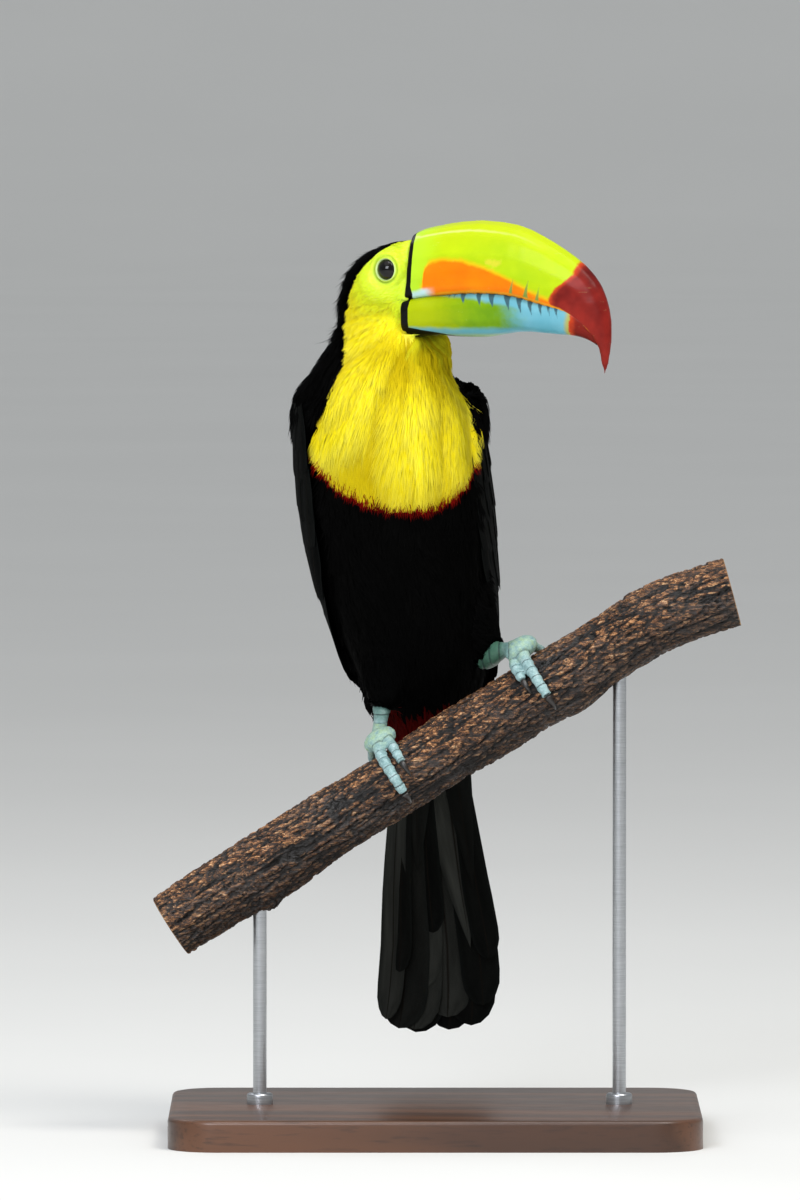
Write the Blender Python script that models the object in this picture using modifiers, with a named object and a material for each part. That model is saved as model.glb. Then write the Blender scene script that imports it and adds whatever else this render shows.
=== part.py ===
"""Keel-billed toucan on a cut length of branch, held by a plain display stand.

World frame: metres, +Z up. The origin is the centre of the underside of the stand's base, the branch
runs along X, and the bird faces -Y with its head turned to its own left. Sizes below are in millimetres.
"""

import math

import bmesh
import bpy
from mathutils import Matrix, Vector

MM = 0.001
GAP = 0.3  # clear space between pieces that touch
BODY_GAP = 0.5  # round the body, whose faces are coarser

# The trunk leans back: each station is (height, middle x, middle y, half width, half depth).
BODY_YAW = 8.0  # degrees that the breast is turned towards the bird's left
TRUNK_STATIONS = (
    (361, -20.5, -7.5, 21.0, 20.0),
    (353, -19.3, -8.5, 27.6, 25.0),
    (345, -22.9, -9.0, 28.9, 28.0),
    (337, -24.0, -8.5, 33.0, 31.5),
    (325, -22.5, -6.5, 38.0, 35.0),
    (305, -19.6, -2.0, 39.5, 37.5),
    (283, -17.5, 4.5, 39.5, 39.0),
    (261, -15.0, 12.0, 38.0, 38.0),
    (238, -11.5, 20.5, 35.0, 35.5),
    (216, -8.0, 30.0, 31.0, 31.0),
    (198, -5.0, 38.0, 26.0, 25.0),
    (182, -4.0, 44.0, 21.0, 16.5),
    (166, -3.5, 49.0, 17.0, 10.0),
    (150, -3.0, 54.0, 12.0, 6.0),
)

# Planes that part the body: a place on each and the way it faces, the first in the head's frame.
THROAT, THROAT_FACES = (-14, 0, -21), (0.42, 0, 0.9)
SHOULDERS, SHOULDERS_FACE = (-21.5, -10, 334), (0, -0.3, 0.95)

BODY_VOXEL = 2.2  # the grid that joins trunk, neck and head
BODY_SMOOTHING = 8
BODY_FACES_KEPT = 0.064

# The folded wings lie on this larger body: (height, middle x, middle y, half width, half depth,
# first and last degree of the wing round the body from its side: minus is breast, plus is back, thickness).
WING_STATIONS = (
    (336, -22.4, -6.5, 35.8, 33.0, -6, 34, 3.0),
    (329, -21.9, -5.8, 41.6, 36.5, -24, 50, 7.0),
    (318, -20.9, -3.5, 43.4, 39.0, -30, 58, 8.5),
    (300, -19.1, 1.0, 44.4, 41.3, -33, 66, 9.0),
    (280, -17.2, 7.0, 44.7, 42.5, -33, 72, 9.0),
    (259, -14.7, 14.5, 43.8, 41.5, -30, 77, 8.5),
    (238, -11.4, 22.8, 41.8, 38.8, -20, 80, 8.0),
    (216, -8.0, 32.2, 37.8, 33.5, -4, 82, 7.0),
    (196, -5.2, 40.6, 33.0, 26.0, 8, 83, 6.0),
    (182, -4.0, 46.5, 28.0, 18.5, 16, 82, 5.0),
    (170, -3.5, 51.0, 22.5, 13.5, 32, 80, 4.0),
    (160, -3.5, 55.0, 18.0, 10.5, 50, 74, 2.5),
)

# The left shoulder stands out further, because the head is turned over it.
RAISED_SHOULDER = 5.0  # mm at the wing's top
SHOULDER_FROM = 310.0  # height at which the left wing starts to stand out

# The tail hangs behind the branch: (height, middle x, middle y, half width, half thickness).
TAIL_ARCH = 3.5  # how far its outer feathers lie below the middle ones
TAIL_STATIONS = (
    (178, -3.6, 52.0, 17.0, 5.0),
    (155, -3.2, 59.5, 20.5, 4.6),
    (134, -2.6, 67.0, 23.0, 4.0),
    (107, -1.5, 76.5, 26.4, 3.4),
    (78, 0.8, 87.0, 29.6, 2.8),
    (56, 1.0, 94.7, 29.6, 2.4),
    (43, 0.6, 99.3, 27.0, 2.0),
    (37.5, -0.6, 101.0, 22.0, 1.5),
    (35.2, -1.6, 101.8, 14.0, 1.0),
)

# The head has its own frame: x forward along the bill, y to the bird's left, z up, from between the eyes.
HEAD_MIDDLE = Vector((-12.8, -14.0, 385.5))
HEAD_YAW = 62.0  # degrees from straight out to the front, towards the bird's left
# (forward, top, underside, half width)
HEAD_STATIONS = (
    (12.0, 14.8, -25.0, 13.6),
    (6.0, 14.6, -26.5, 15.4),
    (-2.0, 13.6, -28.5, 18.4),
    (-11.0, 11.2, -31.0, 19.8),
    (-19.0, 7.2, -33.0, 18.4),
    (-25.0, 2.4, -34.0, 14.6),
    (-29.0, -4.0, -33.0, 9.0),
)
FACE_EDGE_AT_KEEL = 5.0  # where the bill's base crosses the middle line
FACE_EDGE_SWEEP = 4.3  # how much further forward that edge runs at the bill's full width
BILL_BASE_HALF_WIDTH = 15.6

# Each bill station is (upper edge forward and up, lower edge forward and up, half width).
UPPER_BILL_STATIONS = (
    (4.8, 15.1, 9.2, -12.9, 15.6),
    (11.0, 18.4, 16.0, -10.9, 15.5),
    (21.0, 21.2, 25.0, -9.9, 15.0),
    (38.0, 22.9, 40.0, -8.9, 14.0),
    (56.0, 21.1, 56.0, -9.8, 12.4),
    (68.0, 16.5, 66.0, -12.2, 11.0),
    (79.0, 10.6, 74.5, -14.5, 9.7),
    (89.0, 3.8, 80.5, -16.4, 8.4),
    (96.5, -4.5, 85.0, -19.2, 7.0),
    (100.8, -15.0, 89.5, -22.9, 5.6),
    (102.0, -25.0, 93.2, -26.3, 4.3),
    (101.4, -34.0, 96.3, -31.0, 3.0),
    (100.0, -41.0, 97.6, -38.5, 1.5),
)
UPPER_BILL_TIP = (98.7, -45.5)
LOWER_BILL_STATIONS = (
    (9.2, -13.3, 5.9, -25.8, 14.6),
    (16.0, -11.4, 16.3, -26.7, 14.4),
    (25.0, -10.4, 25.4, -27.5, 13.8),
    (40.0, -9.4, 40.4, -27.6, 12.8),
    (56.0, -10.3, 56.4, -26.3, 11.2),
    (66.0, -12.8, 67.0, -26.5, 9.8),
    (74.5, -15.1, 76.0, -27.9, 8.4),
    (81.0, -17.2, 83.0, -29.5, 7.0),
    (86.5, -21.2, 88.3, -31.8, 5.2),
    (90.8, -25.6, 92.0, -34.2, 3.2),
)
LOWER_BILL_TIP = (94.8, -35.0)

EYE_RADIUS = 5.6
EYE_MIDDLE = (-1.4, 12.9, 0.85)  # the left eyeball's centre, in the head's frame

# The branch is almost straight and droops a little past its knob.
BRANCH_FROM, BRANCH_TO = -118.0, 132.0
BRANCH_MIDDLE_Z = 168.4
BRANCH_SLOPE = 32.4  # degrees
BRANCH_RADIUS = 15.5
BRANCH_DROOPS_FROM, BRANCH_DROOP = 80.0, 0.0035  # x, and how much lower for each square millimetre past it
BARK_WAVES = ((0.5, 0.06, 2, 0.0), (0.35, 0.13, -3, 1.0))  # (height, turn for each mm, times round, start)
# Each knob: (x, height, half length, degrees round from the top towards the front).
BRANCH_KNOBS = ((-79, 4.0, 11, 200), (57, 3.2, 9, 170), (-30, 1.4, 14, 80), (96, 1.6, 12, 20))
BRANCH_RINGS, BRANCH_SIDES = 20, 14

# Each foot: (side, x where it grips, ankle and hip in world coordinates, bare share of the shank, toes).
# A toe is (name, place along the branch, degrees that it wraps round: plus is front, radius).
FEET = (
    ("right", -13.7, (-22.0, 33.0, 203.0), (-17.0, 14.0, 226.0), 0.44,
     (("long", -3.2, 104, 3.0), ("short", 3.4, 66, 2.7),
      ("outer", -7.5, -76, 2.6), ("inner", 2.0, -58, 2.3))),
    ("left", 49.4, (10.0, 34.0, 208.0), (11.0, 15.0, 238.0), 0.48,
     (("long", -1.2, 97, 3.0), ("short", -6.8, 58, 2.7),
      ("outer", 6.5, -76, 2.6), ("inner", -2.5, -58, 2.3))),
)
KNUCKLE_HEIGHT = 5.4  # above the bark
KNUCKLE_RADII = (8.4, 6.8, 5.2)  # along the branch, across it, up
TOE_START = 0.06  # share of its wrap at which a toe leaves the knuckle's middle
TOE_SINKS_BY = 0.42  # share of its wrap at which it lies on the bark
TOE_ROOT_SPREAD = 0.35  # share of its place along the branch that it has at the knuckle
TARSUS_RADIUS = 3.3
CLAW_WRAP = 24.0  # degrees that a claw goes on round the branch
THIGH_RADII = (17.0, 7.6)  # at the hip and above the bare shank

# Display stand.
BASE_SIZE = (236.0, 168.0, 14.0)
BASE_CORNER = 22.0
BASE_EDGE = 2.0
ROD_RADIUS = 3.0
ROD_PLACES = (("left", 82.0), ("right", -78.0))
ROD_DEPTH = 8.0  # how far each rod goes into the base and into the branch


def across(yaw):
    """The level direction to the bird's left, for a bird or head turned by yaw from -Y."""
    return Vector((math.cos(math.radians(yaw)), math.sin(math.radians(yaw)), 0))


BODY_LEFT = across(BODY_YAW)
HEAD_LEFT = across(HEAD_YAW)
HEAD_AXES = Matrix((HEAD_LEFT.cross(Vector((0, 0, 1))), HEAD_LEFT, Vector((0, 0, 1)))).transposed()


def in_head(forward, left, up):
    """The world place of a point given in the head's frame."""
    return HEAD_MIDDLE + HEAD_AXES @ Vector((forward, left, up))


# ---------------------------------------------------------------- shapes from rings


def smooth_stations(stations, steps):
    """Catmull-Rom rows through the given ones, with this many steps to each stretch."""
    rows = []
    last = len(stations) - 1
    for i in range(last):
        before, a, b, after = (stations[min(max(i + k, 0), last)] for k in (-1, 0, 1, 2))
        for step in range(steps):
            t = step / steps
            rows.append(tuple(
                q + t / 2 * (r - p + t * (2 * p - 5 * q + 4 * r - s + t * (3 * q - p - 3 * r + s)))
                for p, q, r, s in zip(before, a, b, after)
            ))
    rows.append(tuple(stations[last]))
    return rows


def rounded(angle, power):
    """Cosine and sine of a superellipse: power 2 is an ellipse, more is boxier."""
    c, s = math.cos(angle), math.sin(angle)
    return math.copysign(abs(c) ** (2 / power), c), math.copysign(abs(s) ** (2 / power), s)


def turns(count):
    """Angles evenly round a ring."""
    return [2 * math.pi * k / count for k in range(count)]


def new_object(name, mesh):
    obj = bpy.data.objects.new(name, mesh)
    bpy.context.scene.collection.objects.link(obj)
    return obj


def loft(name, rings, tip=None):
    """A closed body through rings of points in millimetres, with flat ends, or a point for the last."""
    bm = bmesh.new()
    loops = [[bm.verts.new(point * MM) for point in ring] for ring in rings]
    count = len(loops[0])
    for a, b in zip(loops, loops[1:]):
        for k in range(count):
            bm.faces.new((a[k], a[(k + 1) % count], b[(k + 1) % count], b[k]))
    bm.faces.new(reversed(loops[0]))
    if tip is None:
        bm.faces.new(loops[-1])
    else:
        point = bm.verts.new(tip * MM)
        for k in range(count):
            bm.faces.new((loops[-1][k], loops[-1][(k + 1) % count], point))
    bmesh.ops.recalc_face_normals(bm, faces=bm.faces)
    bmesh.ops.triangulate(bm, faces=[face for face in bm.faces if len(face.verts) > 4])
    mesh = bpy.data.meshes.new(name)
    bm.to_mesh(mesh)
    bm.free()
    return new_object(name, mesh)


def directions(points):
    """The unit direction of travel at each point of a path."""
    last = len(points) - 1
    return [(points[min(i + 1, last)] - points[max(i - 1, 0)]).normalized() for i in range(last + 1)]


def body_frames(rows):
    """(middle, direction to the back) for rows that start with height, x and y."""
    middles = [Vector((x, y, z)) for z, x, y, *_ in rows]
    return [(middle, BODY_LEFT.cross(way)) for middle, way in zip(middles, directions(middles))]


def tube(name, points, radii, sides=10):
    """A closed tube through points, with its own radius at each."""
    rings = []
    for point, radius, way in zip(points, radii, directions(points)):
        u = way.orthogonal().normalized() if not rings else (side - way * side.dot(way)).normalized()
        side = u
        v = way.cross(u)
        rings.append([point + radius * (u * math.cos(t) + v * math.sin(t)) for t in turns(sides)])
    return loft(name, rings)


# ---------------------------------------------------------------- working on whole objects


def apply_modifiers(obj):
    """The object with its evaluated mesh in place of its modifiers."""
    graph = bpy.context.evaluated_depsgraph_get()
    mesh = bpy.data.meshes.new_from_object(obj.evaluated_get(graph))
    obj.modifiers.clear()
    obj.data = mesh
    return obj


def boolean(obj, other, operation="DIFFERENCE"):
    modifier = obj.modifiers.new(operation.title(), "BOOLEAN")
    modifier.operation = operation
    modifier.solver = "EXACT"
    modifier.object = other
    return apply_modifiers(obj)


def copy_of(obj, name):
    return new_object(name, obj.data.copy())


def grown(obj, by=GAP):
    """A cutter that is the object with its surface moved out by this much."""
    bigger = copy_of(obj, "cutter_" + obj.name)
    displace = bigger.modifiers.new("Grow", "DISPLACE")
    displace.strength = by * MM
    displace.mid_level = 0
    return apply_modifiers(bigger)


def volume_of(verts):
    """The volume inside the faces of one closed piece of a mesh."""
    total = 0.0
    for face in {face for vert in verts for face in vert.link_faces}:
        a, *others = [vert.co for vert in face.verts]
        total += sum(a.dot(b.cross(c)) for b, c in zip(others, others[1:])) / 6
    return total


def keep_main_piece(obj):
    """Drops the small pieces that a cut leaves apart from the largest one."""
    bm = bmesh.new()
    bm.from_mesh(obj.data)
    pieces, seen = [], set()
    for start in bm.verts:
        if start in seen:
            continue
        piece, edge_of_piece = {start}, [start]
        while edge_of_piece:
            vert = edge_of_piece.pop()
            found = {edge.other_vert(vert) for edge in vert.link_edges} - piece
            piece |= found
            edge_of_piece += found
        seen |= piece
        pieces.append(piece)
    pieces.sort(key=volume_of)
    for piece in pieces[:-1]:
        bmesh.ops.delete(bm, geom=list(piece), context="VERTS")
    bm.to_mesh(obj.data)
    bm.free()
    return obj


def subtract(obj, *cutters):
    for cutter in cutters:
        boolean(obj, cutter)
    return keep_main_piece(obj)


def remove(*objects):
    for obj in objects:
        bpy.data.objects.remove(obj)


def cut_off(obj, point, normal):
    """Takes away what lies beyond a plane, on the side that its normal points to, and closes the cut."""
    bm = bmesh.new()
    bm.from_mesh(obj.data)
    everything = bm.verts[:] + bm.edges[:] + bm.faces[:]
    bmesh.ops.bisect_plane(bm, geom=everything, plane_co=point * MM, plane_no=normal, clear_outer=True)
    open_edges = [edge for edge in bm.edges if edge.is_boundary]
    bmesh.ops.triangle_fill(bm, use_beauty=True, edges=open_edges)
    bmesh.ops.recalc_face_normals(bm, faces=bm.faces)
    bm.to_mesh(obj.data)
    bm.free()
    return obj


# ---------------------------------------------------------------- the bird's body


def make_trunk_and_neck():
    rows = smooth_stations(TRUNK_STATIONS, 2)
    rings = []
    for (_, _, _, half_width, half_depth), (middle, back) in zip(rows, body_frames(rows)):
        ring = [rounded(t, 2.15) for t in turns(28)]
        rings.append([middle + BODY_LEFT * half_width * c + back * half_depth * s for c, s in ring])
    return loft("body", rings)


def make_head():
    rings = []
    for forward, top, under, half_width in smooth_stations(HEAD_STATIONS, 2):
        middle, half_height = (top + under) / 2, (top - under) / 2
        ring = [rounded(t, 2.3) for t in turns(28)]
        rings.append([in_head(forward, half_width * c, middle + half_height * s) for c, s in ring])
    return loft("head_block", rings)


def make_body():
    """Trunk, neck and head in one smooth skin, before they are parted."""
    body, head = make_trunk_and_neck(), make_head()
    boolean(body, head, "UNION")
    remove(head)
    remesh = body.modifiers.new("Remesh", "REMESH")
    remesh.mode = "VOXEL"
    remesh.voxel_size = BODY_VOXEL * MM
    smooth = body.modifiers.new("Smooth", "SMOOTH")
    smooth.factor = 0.5
    smooth.iterations = BODY_SMOOTHING
    decimate = body.modifiers.new("Decimate", "DECIMATE")
    decimate.ratio = BODY_FACES_KEPT
    return apply_modifiers(body)


def face_edge(left):
    """How far forward the bill's base lies, at this distance from the middle line."""
    return FACE_EDGE_AT_KEEL + FACE_EDGE_SWEEP * min(1.6, abs(left) / BILL_BASE_HALF_WIDTH)


def make_bill_seat():
    """A cutter in front of the surface where the bill meets the face."""
    widths = [BILL_BASE_HALF_WIDTH * 1.6 * k / 4 for k in range(-4, 5)]
    outline = [(face_edge(width) - GAP, width) for width in widths] + [(60, widths[-1]), (60, widths[0])]
    return loft("cutter_bill_seat", [[in_head(x, y, z) for x, y in outline] for z in (-60, 60)])


def bill_ring(station, level, power_up, power_down, sides=16):
    """One section of a bill half: it is widest at this level between its lower and upper edge."""
    top_x, top_z, low_x, low_z, half_width = station
    top, low = Vector((top_x, 0, top_z)), Vector((low_x, 0, low_z))
    middle = low.lerp(top, level)
    points = []
    for t in turns(sides):
        c, s = rounded(t, power_up if math.sin(t) > 0 else power_down)
        reach = (top - middle) * s if s > 0 else (middle - low) * s
        points.append(middle + reach + Vector((0, half_width * c, 0)))
    return points


def make_bill(name, stations, tip, level, power_up, power_down):
    rings = [bill_ring(row, level, power_up, power_down) for row in smooth_stations(stations, 2)]
    for point in rings[0]:
        point.x = face_edge(point.y)
    rings = [[in_head(*point) for point in ring] for ring in rings]
    return loft(name, rings, in_head(tip[0], 0, tip[1]))


def make_eye(side, sign):
    forward, out, up = EYE_MIDDLE
    bpy.ops.mesh.primitive_uv_sphere_add(
        segments=12, ring_count=8, radius=EYE_RADIUS * MM, location=in_head(forward, sign * out, up) * MM
    )
    eye = bpy.context.object
    eye.name = f"eye_{side}"
    bpy.ops.object.transform_apply()
    return eye


# ---------------------------------------------------------------- wings, tail


def make_wing(name, sign, grow=0.0):
    """A curved blade on the larger body, thin at its edges. A cutter of it grows by this much all round."""
    rows = smooth_stations(WING_STATIONS, 1)
    steps = [k / 3 - 1 for k in range(7)]
    rings = []
    for row, (middle, back) in zip(rows, body_frames(rows)):
        half_width, half_depth, first, last, thickness = row[3:]
        if sign > 0:
            risen = max(0.0, row[0] - SHOULDER_FROM) / (WING_STATIONS[0][0] - SHOULDER_FROM)
            half_width += RAISED_SHOULDER * risen
        half_turn = (last - first) / 2 + math.degrees(grow / half_depth)

        def place(step, inwards):
            angle = math.radians((first + last) / 2 + step * half_turn)
            out = BODY_LEFT * sign * math.cos(angle) * (half_width - inwards)
            return middle + out + back * math.sin(angle) * (half_depth - inwards)

        outer = [place(step, step**2 - grow) for step in steps]
        inner = [place(step, thickness - step**2 + grow) for step in reversed(steps)]
        rings.append(outer + inner)
    rings[-1] = [point - Vector((0, 0, grow)) for point in rings[-1]]
    return loft(name, rings)


def make_tail():
    rows = smooth_stations(TAIL_STATIONS, 1)
    rings = []
    for (_, _, _, half_width, half_thick), (middle, back) in zip(rows, body_frames(rows)):
        ring = []
        for t in turns(18):
            c, s = rounded(t, 2.4)
            depth = half_thick * s - TAIL_ARCH * c * c * half_width / 28
            ring.append(middle + BODY_LEFT * half_width * c + back * depth)
        rings.append(ring)
    return loft("tail", rings)


# ---------------------------------------------------------------- branch and feet


def branch_at(x):
    """(middle, direction along, direction up off the bark) of the branch at this x."""
    slope = math.tan(math.radians(BRANCH_SLOPE))
    past = max(0.0, x - BRANCH_DROOPS_FROM)
    middle = Vector((x, 0, BRANCH_MIDDLE_Z + slope * x - BRANCH_DROOP * past**2))
    along = Vector((1, 0, slope - 2 * BRANCH_DROOP * past)).normalized()
    return middle, along, Vector((-along.z, 0, along.x))


def branch_radius(x, angle):
    """The bark's distance from the branch's middle: gently uneven, with a few knobs."""
    waves = [high * math.sin(x * turn + around * angle + start) for high, turn, around, start in BARK_WAVES]
    radius = BRANCH_RADIUS + sum(waves)
    for place, height, length, knob_angle in BRANCH_KNOBS:
        turned = math.cos(angle - math.radians(knob_angle))
        radius += height * math.exp(-(((x - place) / length) ** 2)) * max(0.0, turned) ** 3
    return radius


def make_branch():
    rings = []
    for i in range(BRANCH_RINGS + 1):
        x = BRANCH_FROM + (BRANCH_TO - BRANCH_FROM) * i / BRANCH_RINGS
        middle, _, up = branch_at(x)
        front = Vector((0, -1, 0))
        outwards = [(t, up * math.cos(t) + front * math.sin(t)) for t in turns(BRANCH_SIDES)]
        rings.append([middle + out * branch_radius(x, t) for t, out in outwards])
    return loft("perch", rings)


def round_branch(grip, place, angle, height):
    """A point beside the bark: along the branch from a foot's grip, this many degrees round, this high."""
    middle, along, up = branch_at(grip + place * math.cos(math.radians(BRANCH_SLOPE)))
    turn = math.radians(angle)
    radius = branch_radius(middle.x, turn) + height
    return middle + (up * math.cos(turn) + Vector((0, -1, 0)) * math.sin(turn)) * radius


def toe_path(grip, toe, count):
    """Points along a toe, which starts in the knuckle, sinks to the bark and then lies along its own line."""
    _, place, wrap, radius = toe
    points = []
    for k in range(count):
        share = TOE_START + (1 - TOE_START) * k / (count - 1)
        lift = KNUCKLE_HEIGHT / 2 * max(0.0, 1 - share / TOE_SINKS_BY)
        spread = min(1, TOE_ROOT_SPREAD + 1.6 * share)
        points.append(round_branch(grip, place * spread, wrap * share, radius * 0.9 + lift))
    return points


def make_foot(side, grip, toes):
    middle, along, up = branch_at(grip)
    knuckle = round_branch(grip, 0, 8, KNUCKLE_HEIGHT)
    bpy.ops.mesh.primitive_uv_sphere_add(segments=10, ring_count=6, radius=MM)
    foot = bpy.context.object
    foot.name = f"foot_{side}"
    axes = Matrix((along, Vector((0, 1, 0)), up)).transposed().to_4x4()
    foot.matrix_world = Matrix.Translation(knuckle * MM) @ axes @ Matrix.Diagonal((*KNUCKLE_RADII, 1))
    bpy.ops.object.transform_apply()
    for toe in toes:
        radius = toe[3]
        radii = [radius * (1.04 - 0.24 * k / 5) for k in range(6)]
        piece = tube("toe", toe_path(grip, toe, 6), radii, 7)
        boolean(foot, piece, "UNION")
        remove(piece)
    return foot


def make_claw(name, grip, toe):
    """A hooked cone that carries the toe on round the branch, its point just off the bark."""
    _, place, wrap, radius = toe
    turn = math.copysign(CLAW_WRAP, wrap)
    base = wrap + math.copysign(GAP * 3.5, wrap)
    shares = [k / 4 for k in range(5)]
    heights = [radius * 0.9 + 0.9 * math.sin(math.pi * share) - 1.1 * share for share in shares]
    points = [round_branch(grip, place, base + turn * share, up) for share, up in zip(shares, heights)]
    return tube(name, points, [radius * 0.72 * (1 - 0.86 * share**1.2) for share in shares], 7)


def make_leg(side, grip, ankle, hip, bare):
    """(tarsus, thigh): the bare shank above the knuckle, and the feathered sleeve round its top."""
    knuckle = round_branch(grip, 0, 4, KNUCKLE_HEIGHT + 1.0)
    heel = Vector(ankle)
    shank = [knuckle.lerp(heel, (bare + 0.1) * k / 3) for k in range(4)]
    tarsus = tube(f"tarsus_{side}", shank, [TARSUS_RADIUS * swell for swell in (1.12, 1.0, 1.0, 1.1)])
    wide, narrow = THIGH_RADII
    sleeve_end = knuckle.lerp(heel, bare)
    path = [Vector(hip).lerp(sleeve_end, share) for share in (0, 0.3, 0.6, 0.88, 1)]
    radii = [narrow + (wide - narrow) * share for share in (1.0, 0.72, 0.36, 0.0)] + [narrow * 0.62]
    return tarsus, tube(f"thigh_{side}", path, radii, 16)


# ---------------------------------------------------------------- display stand


def make_base():
    width, depth, height = BASE_SIZE
    corners = (
        (width / 2 - BASE_CORNER, depth / 2 - BASE_CORNER, 0),
        (BASE_CORNER - width / 2, depth / 2 - BASE_CORNER, 90),
        (BASE_CORNER - width / 2, BASE_CORNER - depth / 2, 180),
        (width / 2 - BASE_CORNER, BASE_CORNER - depth / 2, 270),
    )

    def outline(inset, z):
        points = []
        for x, y, first in corners:
            for turn in range(first, first + 91, 30):
                corner = Matrix.Rotation(math.radians(turn), 3, "Z") @ Vector((BASE_CORNER - inset, 0, 0))
                points.append(Vector((x, y, z)) + corner)
        return points

    rounding = ((0, 1), (0.3, 0.3), (1, 0))  # how far in and how far down each ring of the top edge lies
    levels = [(0, 0)] + [(BASE_EDGE * inset, height - BASE_EDGE * down) for inset, down in rounding]
    return loft("stand_base", [outline(inset, z) for inset, z in levels])


def upright(name, x, radius, low, high):
    middle = Vector((x, 0, (low + high) / 2)) * MM
    bpy.ops.mesh.primitive_cylinder_add(vertices=20, radius=radius * MM, depth=(high - low) * MM, location=middle)
    rod = bpy.context.object
    rod.name = name
    bpy.ops.object.transform_apply()
    return rod


# ---------------------------------------------------------------- colours and putting it together


def srgb(code):
    """Linear colour of a hex code."""
    channels = [int(code[i : i + 2], 16) / 255 for i in (1, 3, 5)]
    return [c / 12.92 if c <= 0.04045 else ((c + 0.055) / 1.055) ** 2.4 for c in channels] + [1]


MATERIALS = {
    "black_feathers": ("#0b0b0b", 0.7, 0),
    "yellow_feathers": ("#f3e43a", 0.8, 0),
    "lime_skin": ("#d8ec3a", 0.6, 0),
    "upper_bill_keratin": ("#d2f03a", 0.25, 0),
    "lower_bill_keratin": ("#8fc9c9", 0.25, 0),
    "eye_brown": ("#17110c", 0.05, 0),
    "blue_scaled_skin": ("#9fc8c2", 0.45, 0),
    "claw_horn": ("#3a3330", 0.3, 0),
    "bark": ("#5c3f2a", 0.8, 0),
    "stained_wood": ("#6b4a30", 0.4, 0),
    "steel": ("#b9bcc0", 0.3, 1),
}
MATERIAL_OF = (
    ("head", "lime_skin"), ("neck", "yellow_feathers"), ("trunk", "black_feathers"),
    ("wing", "black_feathers"), ("tail", "black_feathers"), ("thigh", "black_feathers"),
    ("upper_bill", "upper_bill_keratin"),
    ("lower_bill", "lower_bill_keratin"), ("eye", "eye_brown"), ("tarsus", "blue_scaled_skin"),
    ("foot", "blue_scaled_skin"), ("claw", "claw_horn"), ("perch", "bark"), ("stand_base", "stained_wood"),
    ("stand_rod", "steel"),
)


def make_material(name):
    code, roughness, metallic = MATERIALS[name]
    material = bpy.data.materials.new(name)
    material.use_nodes = True
    shader = material.node_tree.nodes["Principled BSDF"]
    shader.inputs["Base Color"].default_value = srgb(code)
    shader.inputs["Roughness"].default_value = roughness
    shader.inputs["Metallic"].default_value = metallic
    return material


def dress(parts):
    """Gives each part its material and smooth shading, in a collection named for the object."""
    made = {name: make_material(name) for name in MATERIALS}
    collection = bpy.data.collections.new("keel_billed_toucan")
    bpy.context.scene.collection.children.link(collection)
    for part in parts:
        material = next(name for start, name in MATERIAL_OF if part.name.startswith(start))
        part.data.materials.clear()
        part.data.materials.append(made[material])
        part.data.shade_smooth()
        part.data.set_sharp_from_angle(angle=math.radians(40))
        for owner in part.users_collection:
            owner.objects.unlink(part)
        collection.objects.link(part)


def make_bird_body():
    """(parts, cutter of the whole body): head, neck, trunk, bill and eyes."""
    body = make_body()
    upper = make_bill("upper_bill", UPPER_BILL_STATIONS, UPPER_BILL_TIP, 0.28, 2.1, 5.0)
    lower = make_bill("lower_bill", LOWER_BILL_STATIONS, LOWER_BILL_TIP, 0.7, 5.0, 2.4)
    eyes = [make_eye(side, sign) for side, sign in (("left", 1), ("right", -1))]
    seat, jaw = make_bill_seat(), grown(lower)
    subtract(body, jaw)
    whole = grown(body, BODY_GAP)

    throat, throat_up = in_head(*THROAT), (HEAD_AXES @ Vector(THROAT_FACES)).normalized()
    shoulders, shoulders_up = Vector(SHOULDERS), Vector(SHOULDERS_FACE).normalized()
    head = cut_off(copy_of(body, "head"), throat, -throat_up)
    neck = cut_off(copy_of(body, "neck"), throat - throat_up * GAP, throat_up)
    cut_off(neck, shoulders, -shoulders_up)
    trunk = cut_off(copy_of(body, "trunk"), shoulders - shoulders_up * GAP, shoulders_up)
    sockets = [grown(eye) for eye in eyes]
    subtract(head, seat, *sockets)
    remove(body, seat, jaw, *sockets)
    return [head, neck, trunk, upper, lower, *eyes], whole


def main():
    for obj in list(bpy.data.objects):
        bpy.data.objects.remove(obj)
    parts, whole = make_bird_body()
    sides = (("left", 1), ("right", -1))
    wings = [make_wing(f"wing_{side}", sign) for side, sign in sides]
    wing_cutters = [make_wing(f"cutter_wing_{side}", sign, GAP) for side, sign in sides]
    tail = make_tail()
    for part in (*wings, tail):
        subtract(part, whole)
    subtract(tail, *wing_cutters)

    branch = make_branch()
    bark = grown(branch)
    for side, grip, ankle, hip, bare, toes in FEET:
        tarsus, thigh = make_leg(side, grip, ankle, hip, bare)
        foot = make_foot(side, grip, toes)
        subtract(tarsus, whole, *wing_cutters)
        shank = grown(tarsus)
        subtract(thigh, whole, *wing_cutters, shank)
        subtract(foot, bark, shank)
        remove(shank)
        parts += [tarsus, thigh, foot]
        parts += [subtract(make_claw(f"claw_{side}_{toe[0]}", grip, toe), bark) for toe in toes]

    base = make_base()
    for side, x in ROD_PLACES:
        underside = branch_at(x)[0].z - BRANCH_RADIUS / math.cos(math.radians(BRANCH_SLOPE))
        low, high = BASE_SIZE[2] - ROD_DEPTH, underside + ROD_DEPTH
        rod = upright(f"stand_rod_{side}", x, ROD_RADIUS, low, high)
        hole = upright("cutter_hole", x, ROD_RADIUS + GAP, low - GAP, high + GAP)
        subtract(base, hole)
        subtract(branch, hole)
        remove(hole)
        parts.append(rod)
    remove(whole, bark, *wing_cutters)
    dress([*parts, *wings, tail, branch, base])


main()
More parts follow.
